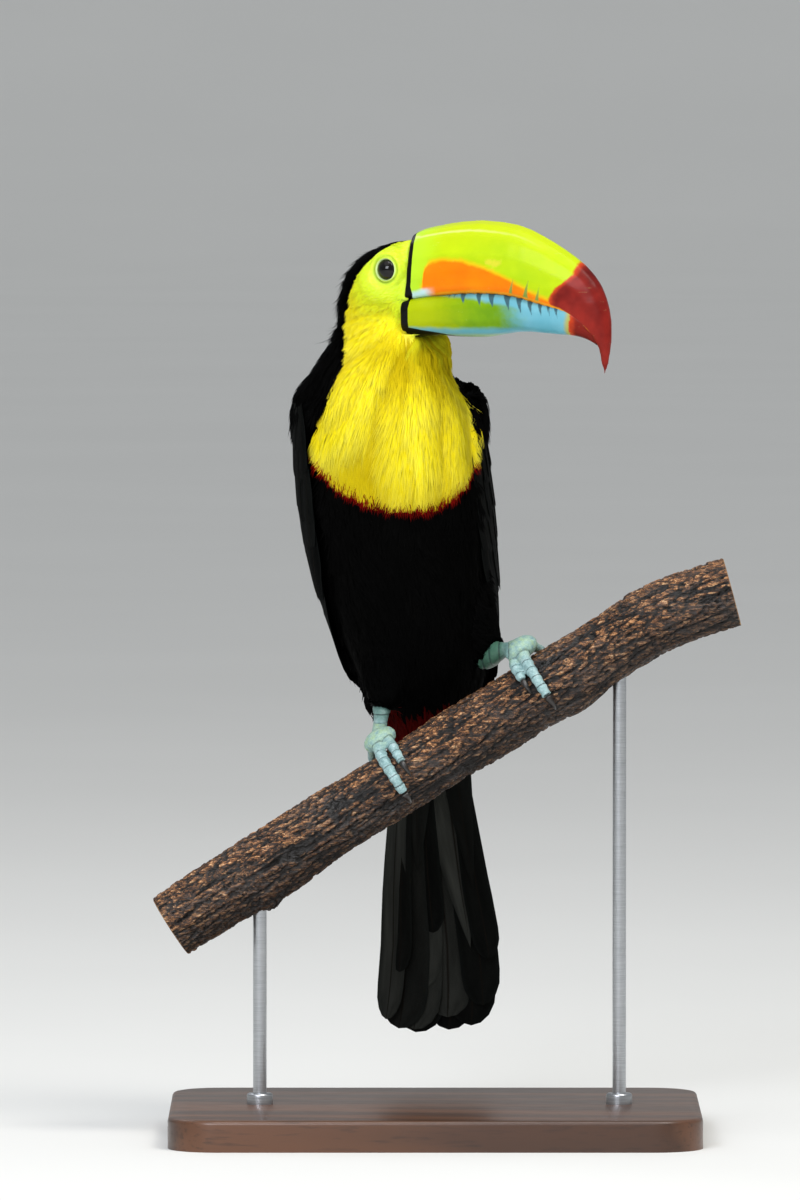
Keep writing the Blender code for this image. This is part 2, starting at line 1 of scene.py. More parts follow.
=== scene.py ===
# %% [markdown]
# # A keel-billed toucan on its perch
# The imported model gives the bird's true shape as plain solids. This script dresses it: one skin over the
# flesh, a coat of mesh feathers, a horn bill, wet eyes, scaled feet, a barky perch and a plain stand. Places
# and sizes are worked out in millimetres and turned into Blender's metres as they are written to a mesh.

import math
from functools import partial

import bpy
import numpy as np
from mathutils import Matrix, Vector, noise
from mathutils.bvhtree import BVHTree


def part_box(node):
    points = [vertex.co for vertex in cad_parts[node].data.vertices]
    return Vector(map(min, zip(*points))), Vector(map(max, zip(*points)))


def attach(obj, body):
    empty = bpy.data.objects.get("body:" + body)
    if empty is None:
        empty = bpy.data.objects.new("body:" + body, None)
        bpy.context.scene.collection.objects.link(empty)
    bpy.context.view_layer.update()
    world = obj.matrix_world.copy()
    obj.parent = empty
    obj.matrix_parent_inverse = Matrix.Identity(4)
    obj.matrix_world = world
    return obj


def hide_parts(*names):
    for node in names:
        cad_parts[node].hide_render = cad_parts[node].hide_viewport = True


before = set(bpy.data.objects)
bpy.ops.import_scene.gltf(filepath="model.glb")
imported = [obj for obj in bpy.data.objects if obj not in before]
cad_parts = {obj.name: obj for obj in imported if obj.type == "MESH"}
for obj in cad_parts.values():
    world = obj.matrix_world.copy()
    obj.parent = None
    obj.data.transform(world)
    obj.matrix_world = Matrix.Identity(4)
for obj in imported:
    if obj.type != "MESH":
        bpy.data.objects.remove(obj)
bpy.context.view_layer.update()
MM = 0.001
SEED = 7
random = np.random.default_rng(SEED)
print("frame loaded, nodes:", len(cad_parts))

# %% [markdown]
# ## Small tools
# Operators act on whatever is selected, so one helper makes an object the only selected and active one.
# A modifier is added and applied in one go. Points travel between Blender and numpy as flat arrays,
# which is much faster than a loop over vertices. The solids come as loose triangles, so a copy of a node is
# welded before anything else, and where a smooth form is wanted it is also remeshed on an even grid.

# %% Tools for objects and points
def pick(obj):
    """Makes this the only selected object, and the active one."""
    bpy.ops.object.select_all(action="DESELECT")
    obj.select_set(True)
    bpy.context.view_layer.objects.active = obj
    return obj


def modified(obj, kind, **settings):
    """Adds a modifier with these settings and applies it."""
    pick(obj)
    modifier = obj.modifiers.new(kind.title(), kind)
    for key, value in settings.items():
        setattr(modifier, key, value)
    bpy.ops.object.modifier_apply(modifier=modifier.name)
    return obj


def new_piece(name, mesh):
    piece = bpy.data.objects.new(name, mesh)
    bpy.context.scene.collection.objects.link(piece)
    return piece


def edit_mode(obj, selected):
    """Goes on in edit mode on this object, with all of its mesh selected or none of it."""
    pick(obj)
    bpy.ops.object.mode_set(mode="EDIT")
    bpy.ops.mesh.select_all(action="SELECT" if selected else "DESELECT")


def object_mode():
    bpy.ops.object.mode_set(mode="OBJECT")


def shade_round(obj):
    pick(obj)
    bpy.ops.object.shade_smooth()


def merged_copy(name, *nodes):
    """One new object with copies of these nodes' meshes, their loose triangles welded."""
    copies = [new_piece(f"{name}_{node}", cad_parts[node].data.copy()) for node in nodes]
    piece = pick(copies[0])
    for copy in copies:
        copy.select_set(True)
    if len(copies) > 1:
        bpy.ops.object.join()
    piece.name = name
    piece.data.materials.clear()
    edit_mode(piece, True)
    bpy.ops.mesh.remove_doubles(threshold=0.01 * MM)
    object_mode()
    return piece


def smoothed(obj, rounds, group=""):
    return modified(obj, "SMOOTH", factor=0.5, iterations=rounds, vertex_group=group)


def remeshed_copy(name, grid, *nodes):
    """These nodes as one closed mesh of even quads, this many millimetres wide."""
    return modified(merged_copy(name, *nodes), "REMESH", mode="VOXEL", voxel_size=grid * MM)


def points_of(obj):
    """All vertices in millimetres, one row each."""
    flat = np.empty(len(obj.data.vertices) * 3, np.float32)
    obj.data.vertices.foreach_get("co", flat)
    return flat.reshape(-1, 3).astype(float) / MM


def normals_of(obj):
    """The direction that each vertex faces."""
    flat = np.empty(len(obj.data.vertices) * 3, np.float32)
    obj.data.vertex_normals.foreach_get("vector", flat)
    return flat.reshape(-1, 3).astype(float)


def move_points(obj, points):
    obj.data.vertices.foreach_set("co", (points * MM).astype(np.float32).ravel())
    obj.data.update()


def paint(obj, name, values):
    """Keeps one number for each vertex, which a material reads by this name."""
    layer = obj.data.attributes.get(name) or obj.data.attributes.new(name, "FLOAT", "POINT")
    layer.data.foreach_set("value", np.asarray(values, np.float32))


def smooth_step(low, high, values):
    """0 below low, 1 above high, and an easy S between."""
    share = np.clip((values - low) / (high - low), 0, 1)
    return share * share * (3 - 2 * share)


def unit(vectors):
    """The same directions with a length of 1."""
    return vectors / np.maximum(np.linalg.norm(vectors, axis=-1, keepdims=True), 1e-9)


def triangle_count(obj):
    return sum(len(face.vertices) - 2 for face in obj.data.polygons)


def finish_piece(obj, material, slot, *nodes):
    """Every piece rides on the model's one body and stands for the nodes that it covers."""
    if material:
        obj.data.materials.append(material)
    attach(obj, "root")
    if nodes:
        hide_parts(*nodes)
    print(f"{obj.name}: {triangle_count(obj)} triangles")


# %% [markdown]
# ## Two frames of reference
# The bird's breast is turned a little to its left and its head much further. Colours and feathers follow
# the head or the trunk, so points are also given in the head's frame (forward along the bill, left, up,
# from between the eyes) and round the trunk's leaning middle line.

# %% Frames of the head and the trunk
BODY_YAW = 8.0
HEAD_YAW = 62.0
HEAD_MIDDLE = np.array((-12.8, -14.0, 385.5))
UP = np.array((0.0, 0.0, 1.0))


def left_of(yaw):
    """The direction to the left of something that is turned this many degrees."""
    return np.array((math.cos(math.radians(yaw)), math.sin(math.radians(yaw)), 0.0))


BODY_LEFT, HEAD_LEFT = left_of(BODY_YAW), left_of(HEAD_YAW)
BODY_FRONT, HEAD_FRONT = np.cross(BODY_LEFT, UP), np.cross(HEAD_LEFT, UP)
HEAD_AXES = np.array((HEAD_FRONT, HEAD_LEFT, UP))

# The trunk's middle line: (height, x, y).
TRUNK_LINE = np.array((
    (150, -3.0, 54.0), (166, -3.5, 49.0), (182, -4.0, 44.0), (198, -5.0, 38.0), (216, -8.0, 30.0),
    (238, -11.5, 20.5), (261, -15.0, 12.0), (283, -17.5, 4.5), (305, -19.6, -2.0), (325, -22.5, -6.5),
    (345, -22.9, -9.0), (361, -20.5, -7.5), (400, -20.5, -7.5),
))


def to_head(points):
    return (points - HEAD_MIDDLE) @ HEAD_AXES.T


def from_head(points):
    return HEAD_MIDDLE + np.asarray(points, float) @ HEAD_AXES


def trunk_middle(height):
    heights, x, y = TRUNK_LINE.T
    return np.stack((np.interp(height, heights, x), np.interp(height, heights, y), height), axis=-1)


def round_trunk(points):
    """Degrees round the trunk from the middle of the breast, plus to the bird's left."""
    out = points - trunk_middle(points[:, 2])
    return np.degrees(np.arctan2(out @ BODY_LEFT, out @ BODY_FRONT))


print("the head is turned", HEAD_YAW - BODY_YAW, "degrees from the body")

# %% [markdown]
# ## Where the colours meet
# The yellow face and bib end at a line behind the eye, down the side of the neck, and round the bib's
# lower edge. One function gives each point its distance inside that line. The skin and all feathers ask it,
# so they can't disagree. A feather asks for its tip, because the tip is what shows.

# %% The edge of the yellow
# In the head's frame: how far forward the black cap reaches, at each height.
CAP_HEIGHTS = (-40.0, -27.0, -9.0, -2.4, 2.1, 6.9, 10.5, 12.7, 14.2, 16.0)
CAP_EDGE = (-24.0, -23.0, -20.0, -16.0, -13.2, -9.2, -5.2, -1.2, 4.0, 12.0)
# Round the trunk: how many degrees the yellow reaches to each side, at each height.
BIB_HEIGHTS = (296.0, 310.0, 316.0, 327.0, 340.0, 360.0)
BIB_RIGHT_REACH = (62.0, 71.0, 68.0, 55.0, 51.0, 51.0)
BIB_LEFT_REACH = (66.0, 77.0, 77.0, 72.0, 84.0, 112.0)
BIB_BOTTOM = 280.5
BIB_RISE = 16.0  # how much higher the bib's edge is at the side
BIB_RISE_AT = 57.0  # degrees from the middle
NECK_JOIN = (345.0, 362.0)  # heights between which the trunk's rule gives way to the head's
BREAST_RADIUS = 36.0


def inside_yellow(points):
    """Millimetres from each point to the nearest border of the yellow, below 0 outside it."""
    head = to_head(points)
    in_head = head[:, 0] - np.interp(head[:, 2], CAP_HEIGHTS, CAP_EDGE)
    turn, height = round_trunk(points), points[:, 2]
    left, right = (np.interp(height, BIB_HEIGHTS, reach) for reach in (BIB_LEFT_REACH, BIB_RIGHT_REACH))
    from_side = np.radians(np.where(turn > 0, left, right) - np.abs(turn)) * BREAST_RADIUS
    from_below = height - BIB_BOTTOM - BIB_RISE * (turn / BIB_RISE_AT) ** 2
    share = smooth_step(*NECK_JOIN, height)
    return share * in_head + (1 - share) * np.minimum(from_side, from_below)


print("the yellow's lowest point is at", BIB_BOTTOM, "mm")

# %% [markdown]
# ## Which way the feathers lie
# A coat has a lie: on this bird it runs back over the face from the base of the bill, fans out from the
# chin over the bib, and goes on down the breast and back to the tail. The lie at a point is the sum of a
# pull away from the bill or the chin and a pull down the trunk. Every feather takes the part of that pull
# that runs along the skin under it.

# %% The lie of the coat
BILL_BASE, CHIN = from_head((8.0, 0.0, -10.0)), from_head((1.0, 0.0, -20.0))
CHIN_RULES = (350.0, 366.0)  # heights between which the chin gives way to the bill's base
FAN_HEIGHTS = (258.0, 300.0)  # below the first the coat only runs down the trunk
# Each leg's feathered part runs from the hip to the knuckle.
SHANKS = (
    (np.array((-17.0, 14.0, 226.0)), np.array((-18.5, 4.0, 181.0))),
    (np.array((11.0, 15.0, 238.0)), np.array((34.0, 8.0, 219.0))),
)


def on_thighs(points):
    """1 on the feathered part of a leg and 0 off it, for each leg, with the way down that leg."""
    for hip, heel in SHANKS:
        axis = unit(heel - hip)
        share = (points - hip) @ axis
        beside = np.linalg.norm(points - hip - share[:, None] * axis, axis=1)
        yield (1 - smooth_step(9.0, 16.0, beside)) * smooth_step(6.0, 14.0, share), axis


def lie_of_coat(points, normals):
    height = points[:, 2]
    down = unit(trunk_middle(height - 6.0) - trunk_middle(height + 6.0))
    share = smooth_step(*CHIN_RULES, height)[:, None]
    fan = unit(points - CHIN) * (1 - share) + unit(points - BILL_BASE) * share
    on_head = smooth_step(350.0, 372.0, height)[:, None]
    fanned = smooth_step(*FAN_HEIGHTS, height)[:, None]
    outwards = unit(points - trunk_middle(height))
    pull = fan * fanned * (1.0 + 0.2 * on_head) + down * (1.05 - 0.9 * fanned + 0.45 * on_head)
    pull += 0.08 * outwards
    for on_thigh, axis in on_thighs(points):
        pull = pull * (1 - on_thigh[:, None]) + axis * on_thigh[:, None]
    along = pull - normals * np.sum(pull * normals, axis=1, keepdims=True)
    return unit(along)


print("the bill's base is at", BILL_BASE.round(1), "and the chin at", CHIN.round(1))

# %% [markdown]
# ## The skin
# The flesh nodes come parted by thin cuts. Joined and remeshed on a fine grid they close into one skin.
# Sculpting or subdividing the solids would keep those cuts. Legs get a finer grid of their own.

# %% Join and remesh the flesh
SKIN_GRID = 1.5
LEG_GRID = 0.55
WINGS = ("wing_left", "wing_right")
COATED = ("trunk", "neck", "head", "thigh_left", "thigh_right", *WINGS)
BARE = ("tarsus_left", "tarsus_right", "foot_left", "foot_right")

skin = remeshed_copy("skin", SKIN_GRID, *COATED)
legs = smoothed(remeshed_copy("legs", LEG_GRID, *BARE), 10)
print("skin faces:", len(skin.data.polygons), "leg faces:", len(legs.data.polygons))

# %% [markdown]
# ### Room for the feathers
# The skin is drawn in by the depth of the coat, which is thick on the trunk and almost nothing on the face,
# so that the feathers end where the solids do. Where the legs and wings have feathers that lie flat it is
# thin too. The depth at a point is a rule of its height and its distances from the bill and the eye.

# %% Depth of the coat
def tree_of(obj):
    """A search tree over a mesh, in millimetres, for its nearest points."""
    faces = [tuple(face.vertices) for face in obj.data.polygons]
    return BVHTree.FromPolygons([Vector(point) for point in points_of(obj)], faces)


def distance_to(points, *nodes):
    """How far each point is from the nearest of these nodes."""
    trees = [tree_of(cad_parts[node]) for node in nodes]
    return np.array([min(tree.find_nearest(Vector(p))[3] for tree in trees) for p in points])


def bill_seat(head):
    """How far a point in the head's frame lies behind the base of the bill."""
    return 5.0 + 4.3 * np.minimum(1.6, np.abs(head[:, 1]) / 15.6) - head[:, 0]


# The line where the bill's two halves meet, in the head's frame.
EDGE_AT = (9.2, 16.0, 25.0, 40.0, 56.0, 66.0, 74.5, 80.5, 85.0, 89.5, 93.2, 96.3, 97.6)
EDGE_UP = (-12.9, -10.9, -9.9, -8.9, -9.8, -12.2, -14.5, -16.4, -19.2, -22.9, -26.3, -31.0, -38.5)


def above_edge(head):
    """Height over the line where the bill's two halves meet."""
    return head[:, 2] - np.interp(head[:, 0], EDGE_AT, EDGE_UP)


EYE_FORWARD, EYE_OUT, EYE_UP = -1.4, 12.9, 0.85
EYE_RADIUS = 5.6


def from_eye(head):
    """Distance from the line through both eyes."""
    return np.hypot(head[:, 0] - EYE_FORWARD, head[:, 2] - EYE_UP)


FACE_DEPTH, TRUNK_DEPTH, VENT_DEPTH, VANE_DEPTH, THIGH_DEPTH = 0.15, 2.7, 1.6, 2.0, 1.1
VANES_BELOW = 324.0  # the wings' long feathers begin under this height


def coat_depth(points, near_wings, near_thighs):
    """Millimetres of feathers over the skin."""
    head, height = to_head(points), points[:, 2]
    near_face = np.minimum(bill_seat(head) - 1.0, from_eye(head) - 7.5)
    depth = FACE_DEPTH + 2.6 * smooth_step(0.0, 24.0, near_face)
    depth += (TRUNK_DEPTH - depth) * (1 - smooth_step(346.0, 364.0, height))
    low_trunk = VENT_DEPTH + (TRUNK_DEPTH - VENT_DEPTH) * smooth_step(175.0, 215.0, height)
    depth = np.minimum(depth, low_trunk)
    depth = np.where(near_thighs, np.minimum(THIGH_DEPTH, depth), depth)
    return np.where(near_wings & (height < VANES_BELOW), np.minimum(VANE_DEPTH, low_trunk), depth)


# %% [markdown]
# ### Throat and chin
# Long soft feathers fill the corner under the bill, so the throat runs straight down from the chin. The
# remeshed skin is smoothed all over but at the eyes and the bill's seat. Then the throat is carried
# forward and smoothed much more, and the chin is tucked in where the horn's lower corner lies over it.

# %% Smooth the skin and draw it in
CLOSE = 0.9  # a vertex this near to a node came from it
THROAT_LOW, THROAT_FROM, THROAT_TO = 339.0, 343.0, 358.0  # heights
THROAT_FORWARD, CHIN_TUCK = 7.2, 1.3


def smooth_part(name, chosen, rounds):
    """Smooths these vertices of the skin, and keeps them as a group."""
    group = skin.vertex_groups.new(name=name)
    group.add(np.flatnonzero(chosen).tolist(), 1.0, "REPLACE")
    smoothed(skin, rounds, name)
    return points_of(skin)


points = points_of(skin)
near_wings = distance_to(points, *WINGS) < CLOSE
near_thighs = distance_to(points, "thigh_left", "thigh_right") < CLOSE
head = to_head(points)
at_eye = (from_eye(head) < 8.0) & (head[:, 2] > -10) & (head[:, 0] > -15)
points = smooth_part("soft", ~(at_eye | (bill_seat(head) < 3.0)), 14)

filled = smooth_step(THROAT_FROM, THROAT_TO, points[:, 2]) * (points[:, 2] < THROAT_TO + 1)
filled *= smooth_step(0.25, 0.8, normals_of(skin) @ HEAD_FRONT)
points += HEAD_FRONT * (THROAT_FORWARD * filled)[:, None]
move_points(skin, points)
on_throat = (points[:, 2] > THROAT_LOW) & (points[:, 2] < THROAT_TO) & (bill_seat(to_head(points)) < 12)
points = smooth_part("throat", on_throat, 60)

head = to_head(points)
tucked = smooth_step(-3.0, 1.0, bill_seat(head)) * (1 - smooth_step(4.0, 9.0, bill_seat(head)))
tucked *= smooth_step(18.0, 22.0, -head[:, 2]) * (1 - smooth_step(29.0, 33.0, -head[:, 2]))
move_points(skin, points - normals_of(skin) * (CHIN_TUCK * tucked)[:, None])

points = points_of(skin)
depth = coat_depth(points, near_wings, near_thighs)
paint(skin, "coat", depth)
move_points(skin, points - normals_of(skin) * depth[:, None])
smoothed(skin, 6, "soft")
print("coat depth in mm:", round(depth.min(), 2), "to", round(depth.max(), 2))

# %% [markdown]
# ## Eyelids
# A toucan's eye sits in a ring of soft bare skin. The skin round each eye is divided finer first, and then
# each vertex is set to a profile that depends only on its distance from the eye: under the eyeball, up over
# the rounded lid, into the crease behind it, and out to the face.

# %% Shape the eyelids
LID_PROFILE_AT = (0.0, 3.6, 4.25, 4.6, 5.0, 5.4, 5.8, 6.5, 7.6)
LID_PROFILE_OUT = (13.5, 13.6, 16.2, 17.0, 17.2, 16.95, 16.6, 17.05, 17.4)
LID_ENDS, FACE_STARTS = 6.8, 9.2
OFF_MIDDLE = 8.0  # the eyes' vertices are further than this from the head's middle plane


def round_eye(head):
    """Which way each point of the head lies from the eye, in radians up from the front."""
    return np.arctan2(head[:, 2] - EYE_UP, head[:, 0] - EYE_FORWARD)


edit_mode(skin, False)
object_mode()
head = to_head(points_of(skin))
near_eye = (from_eye(head) < FACE_STARTS + 1.5) & (np.abs(head[:, 1]) > OFF_MIDDLE)
skin.data.vertices.foreach_set("select", near_eye)
bpy.ops.object.mode_set(mode="EDIT")
bpy.ops.mesh.subdivide(number_cuts=2)
object_mode()

head = to_head(points_of(skin))
ring, around, side = from_eye(head), round_eye(head), np.sign(head[:, 1])
oval = ring / (1 + 0.06 * np.cos(2 * (around - math.pi / 2)))
lid = np.interp(oval, LID_PROFILE_AT, LID_PROFILE_OUT)
lid += 0.1 * np.sin(around * 9) * smooth_step(5.6, 6.4, oval) * (1 - smooth_step(7.0, 8.2, oval))
share = (1 - smooth_step(LID_ENDS, FACE_STARTS, ring)) * (np.abs(head[:, 1]) > OFF_MIDDLE)
head[:, 1] = side * ((1 - share) * np.abs(head[:, 1]) + share * lid)
move_points(skin, from_head(head))
print("skin faces with eyelids:", len(skin.data.polygons))

# %% [markdown]
# ## Materials
# Colours are written as sRGB hex codes, as a paint chart gives them, and one function turns them into the
# linear values that the renderer wants. One more function adds a node with its settings and its links.
# Noise scales come from real sizes: a pattern whose parts are s millimetres apart has a scale of 1000 / s.

# %% Tools for materials
def srgb(code):
    channels = [int(code[i : i + 2], 16) / 255 for i in (1, 3, 5)]
    return (*[c / 12.92 if c <= 0.04045 else ((c + 0.055) / 1.055) ** 2.4 for c in channels], 1.0)


COLOUR_MIX = {"kind": "Mix", "data_type": "RGBA", "out": 2}
A, B = 6, 7  # the colour inputs of a Mix node
FAC = 2  # the number that an Attribute node gives


def add_node(tree, kind, links=None, out=0, stops=(), **settings):
    """Adds a node, sets it up, fills or links its inputs, and gives back one of its outputs."""
    node = tree.nodes.new("ShaderNode" + kind)
    for key, value in settings.items():
        setattr(node, key, value)
    for name, value in (links or {}).items():
        if isinstance(value, bpy.types.NodeSocket):
            tree.links.new(value, node.inputs[name])
        else:
            node.inputs[name].default_value = srgb(value) if isinstance(value, str) else value
    for k, (place, colour) in enumerate(stops):
        ramp = node.color_ramp.elements
        stop = ramp[k] if k < len(ramp) else ramp.new(place)
        stop.position, stop.color = place, srgb(colour)
    return node.outputs[out]


def new_material(name, constants=None):
    """(material, a function that adds to its nodes), with constants set on the shader's own sockets."""
    material = bpy.data.materials.new(name)
    material.use_nodes = True
    for key, value in (constants or {}).items():
        material.node_tree.nodes["Principled BSDF"].inputs[key].default_value = value
    return material, partial(add_node, material.node_tree)


def finished(material, **outputs):
    """This material with these outputs wired to the shader's sockets of the same name."""
    shader = material.node_tree.nodes["Principled BSDF"]
    for socket, output in outputs.items():
        material.node_tree.links.new(output, shader.inputs[socket.replace("_", " ")])
    print("material:", material.name)
    return material


def per_mm(size):
    """The scale of a pattern whose parts are this many millimetres apart."""
    return 1 / (size * MM)


# %% [markdown]
# ### Feathers
# Feather keratin is matt because each vane is made of fine barbs, which the eye reads as streaks along the
# feather. Each blade has its own shade, which also carries the painted shade and painted light given to
# some regions of the coat. It has a darker root, partly its own colour and partly painted shade from the
# blades that lie over it, a paler worn tip, and streaks from its own map.
# Barbs are about 0.1 mm apart in life, too fine to show, so the streaks are drawn about five times coarser.

# %% Feather materials
def feather_material(name, root, body, tip, dark, barbs, depth, gloss, green=None):
    """root, body, tip and dark are colours, barbs how many streaks cross a blade, depth theirs in mm."""
    material, add = new_material(name, {"Roughness": 0.65, "Specular IOR Level": gloss})
    shade, along = (add("Attribute", attribute_name=mark, out=FAC) for mark in ("shade", "tip"))
    # The darker root stop is partly painted shade from the blades that lie over it.
    colour = add("ValToRGB", {"Fac": along}, stops=((0.05, root), (0.5, body), (0.97, tip)))
    if green:
        lime = add("Attribute", attribute_name="lime", out=FAC)
        colour = add(links={0: lime, A: colour, B: green}, **COLOUR_MIX)
    # shade is each blade's own tone plus the painted shade and light that grow adds through darker.
    dulled = add("MapRange", {"Value": shade, "From Min": 0.3, "From Max": 1.6, "To Max": 1.15})
    blade = add("UVMap", uv_map="Vane")
    stretched = add("Mapping", {"Vector": blade, "Scale": (barbs, 1.2, 1.0)})
    streaks = add("TexNoise", {"Vector": stretched, "Scale": 1.0, "Detail": 2.0})
    streaky = {"Value": streaks, "From Min": 0.35, "From Max": 0.75, "To Max": 0.18}
    for share in (dulled, add("MapRange", streaky)):
        colour = add(links={0: share, A: colour, B: dark}, **COLOUR_MIX)
    raised = add("Bump", {"Height": streaks, "Strength": 0.5, "Distance": depth * MM})
    return finished(material, Base_Color=colour, Normal=raised)


yellow_silk = feather_material(
    "yellow_silk_feather", "#f2da10", "#fae81a", "#fcf050", "#c4ac08", 7, 0.05, 0.05, green="#d2f02c")
black_soft = feather_material("black_soft_feather", "#010101", "#030303", "#060606", "#010101", 6, 0.08, 0.02)
red_soft = feather_material("red_soft_feather", "#2a0302", "#980f08", "#860c06", "#120202", 6, 0.12, 0.03)
# The red under the tail is the same red made darker: painted shade, for it lies under the body and the tail.
shaded_undertail_red = feather_material(
    "shaded_undertail_feather", "#1c0201", "#560503", "#6c0a05", "#2a0302", 6, 0.12, 0.03)

# %% [markdown]
# ### Long vanes
# A flight or tail feather has a shaft and barbs that run out and forward from it at about 35 degrees. The
# slanted lines are a wave pattern on the feather's own map. Some vanes carry a faint grey painted sheen in
# patches, and all are a little paler along their worn edges and their shaft, which tells one from the next.

# %% Vane material
def vane_material():
    material, add = new_material("black_flight_vane", {"Roughness": 0.55, "Specular IOR Level": 0.01})
    blade = add("UVMap", uv_map="Vane")
    across, along = (add("SeparateXYZ", {0: blade}, out=axis) for axis in (0, 1))
    off = add("Math", {0: across, 1: 0.5}, operation="SUBTRACT")
    off = add("Math", {0: off}, operation="ABSOLUTE")
    slanted = add("Math", {0: off, 1: -0.32, 2: along}, operation="MULTIPLY_ADD")
    barb = add("CombineXYZ", {1: slanted})
    lines = add("TexWave", {"Vector": barb, "Scale": 26.0, "Distortion": 0.6}, out=1,
                bands_direction="Y")
    shade = add("Attribute", attribute_name="shade", out=FAC)
    colour = add("ValToRGB", {"Fac": lines}, stops=((0.2, "#020303"), (0.9, "#070808")))
    clouds = add("TexNoise", {"Vector": blade, "Scale": 3.0, "Detail": 3.0})
    # A grey painted sheen in patches, as strong as each vane's shade.
    painted_sheen = add("Math", {0: shade, 1: clouds}, operation="MULTIPLY")
    fringe = add("MapRange", {"Value": off, "From Min": 0.38, "From Max": 0.5, "To Max": 0.5})
    shaft = add("MapRange", {"Value": off, "From Max": 0.035, "To Min": 1.0, "To Max": 0.0})
    for share, over in ((painted_sheen, "#464844"), (fringe, "#141716"), (shaft, "#15120f")):
        colour = add(links={0: share, A: colour, B: over}, **COLOUR_MIX)
    raised = add("Bump", {"Height": lines, "Strength": 0.35, "Distance": 0.15 * MM})
    return finished(material, Base_Color=colour, Normal=raised)


black_vane = vane_material()

# %% [markdown]
# ### Skin
# Under the feathers the skin wears the same colours, so that a parting shows no other tone, and where it is
# black it is quite matt. Round the eye it is bare: lime green and finely pored, paler on the lid's rim, with
# the crease behind the lid in shade. Like all thin skin it is a little glossy, which its pores break up.

# %% Skin material
def skin_material():
    material, add = new_material("lime_face_skin")
    place = add("TexCoord", out=3)
    yellow, lime, lid, fold, red = (
        add("Attribute", attribute_name=mark, out=FAC)
        for mark in ("yellow", "lime", "lid", "fold", "red"))
    mottle = add("TexNoise", {"Vector": place, "Scale": per_mm(3.0), "Detail": 3.0})
    colour = add("ValToRGB", {"Fac": mottle}, stops=((0.3, "#e2c410"), (0.7, "#f4e024")))
    green = add("ValToRGB", {"Fac": mottle}, stops=((0.3, "#c4e42a"), (0.7, "#d8f23c")))
    black = add("MapRange", {"Value": yellow, "From Min": 0.5, "From Max": -0.5})
    for share, over in (
            (lime, green), (lid, "#cfe89a"), (fold, "#6f8f1c"), (black, "#040404"), (red, "#260402")):
        colour = add(links={0: share, A: colour, B: over}, **COLOUR_MIX)
    pores = add("TexVoronoi", {"Vector": place, "Scale": per_mm(0.8)})
    fine = add("TexNoise", {"Vector": place, "Scale": per_mm(0.7), "Detail": 2.0})
    height = add("Math", {0: pores, 1: fine}, operation="ADD")
    raised = add("Bump", {"Height": height, "Strength": 0.35, "Distance": 0.12 * MM})
    rough = add("MapRange", {"Value": fine, "To Min": 0.42, "To Max": 0.62})
    gloss = add("MapRange", {"Value": black, "To Min": 0.35, "To Max": 0.0})
    return finished(material, Base_Color=colour, Roughness=rough, Specular_IOR_Level=gloss, Normal=raised)


face_skin = skin_material()

# %% [markdown]
# ### Scaled feet
# The feet are pale turquoise horn plates, a little glossy, and darker in the creases between them. The
# knobbly knuckles turn a greyish green. The shank's deeper green is painted shade, full on the left shank,
# which lies in shade under the belly, and weaker on the right. A net of fine cracks parts the small
# scales, and the mesh itself carries the large creases, so that they show from the side too.

# %% Foot material
def foot_material():
    material, add = new_material("turquoise_scaled_foot", {"Specular IOR Level": 0.45})
    place = add("TexCoord", out=3)
    creases, knuckle, shank = (
        add("Attribute", attribute_name=mark, out=FAC) for mark in ("crease", "knuckle", "shank"))
    mottle = add("TexNoise", {"Vector": place, "Scale": per_mm(2.2), "Detail": 4.0})
    colour = add("ValToRGB", {"Fac": mottle},
                 stops=((0.25, "#76989a"), (0.5, "#97b9ba"), (0.75, "#b9d2d4")))
    green = add("MapRange", {"Value": mottle, "From Min": 0.35, "From Max": 0.65, "To Max": 0.75})
    green = add("Math", {0: green, 1: knuckle}, operation="MULTIPLY")
    darker_in_creases = add("MapRange", {"Value": creases, "From Min": 0.25, "From Max": 0.8, "To Max": 0.88})
    veins = add("TexVoronoi", {"Vector": place, "Scale": per_mm(1.3)}, feature="DISTANCE_TO_EDGE")
    cracks = add("MapRange", {"Value": veins, "From Max": 0.08, "To Min": 0.35, "To Max": 0.0})
    # The shank's deeper green is painted shade.
    for share, over in ((green, "#9cba86"), (shank, "#46705c"), (darker_in_creases, "#1c2a2c"), (cracks, "#41585a")):
        colour = add(links={0: share, A: colour, B: over}, **COLOUR_MIX)
    raised = add("Bump", {"Height": veins, "Strength": 0.4, "Distance": 0.15 * MM})
    rough = add("MapRange", {"Value": mottle, "To Min": 0.35, "To Max": 0.55})
    return finished(material, Base_Color=colour, Roughness=rough, Normal=raised)


foot_skin = foot_material()

# %% [markdown]
# ## What the coat has to know
# Two more facts are needed before the skin is coloured and the feathers are placed: how green a place on
# the face is, and whether a place lies on a wing, which has long feathers of its own.

# %% The green of the face
def lime_share(points):
    """1 on the green skin round the eye and the bill's base, 0 on the yellow throat."""
    head = to_head(points)
    near_eye = 1 - smooth_step(8.0, 26.0, from_eye(head))
    # It reaches further back over the forehead, and less far under the cheek.
    reach = 6 * smooth_step(4.0, 12.0, head[:, 2]) - 0.8 * np.maximum(0, -8 - head[:, 2])
    near_bill = 1 - smooth_step(7.0, 23.0, bill_seat(head) - reach)
    return np.maximum(near_eye, near_bill) * (points[:, 2] > 350)


# %% The wings' own ground
WING_REACH = 2.3  # the skin lies up to this far under a wing's solid


def on_wing(points):
    return distance_to(points, *WINGS) < WING_REACH


print("skin on the wings:", int(on_wing(points_of(skin)).sum()), "of", len(skin.data.vertices), "vertices")

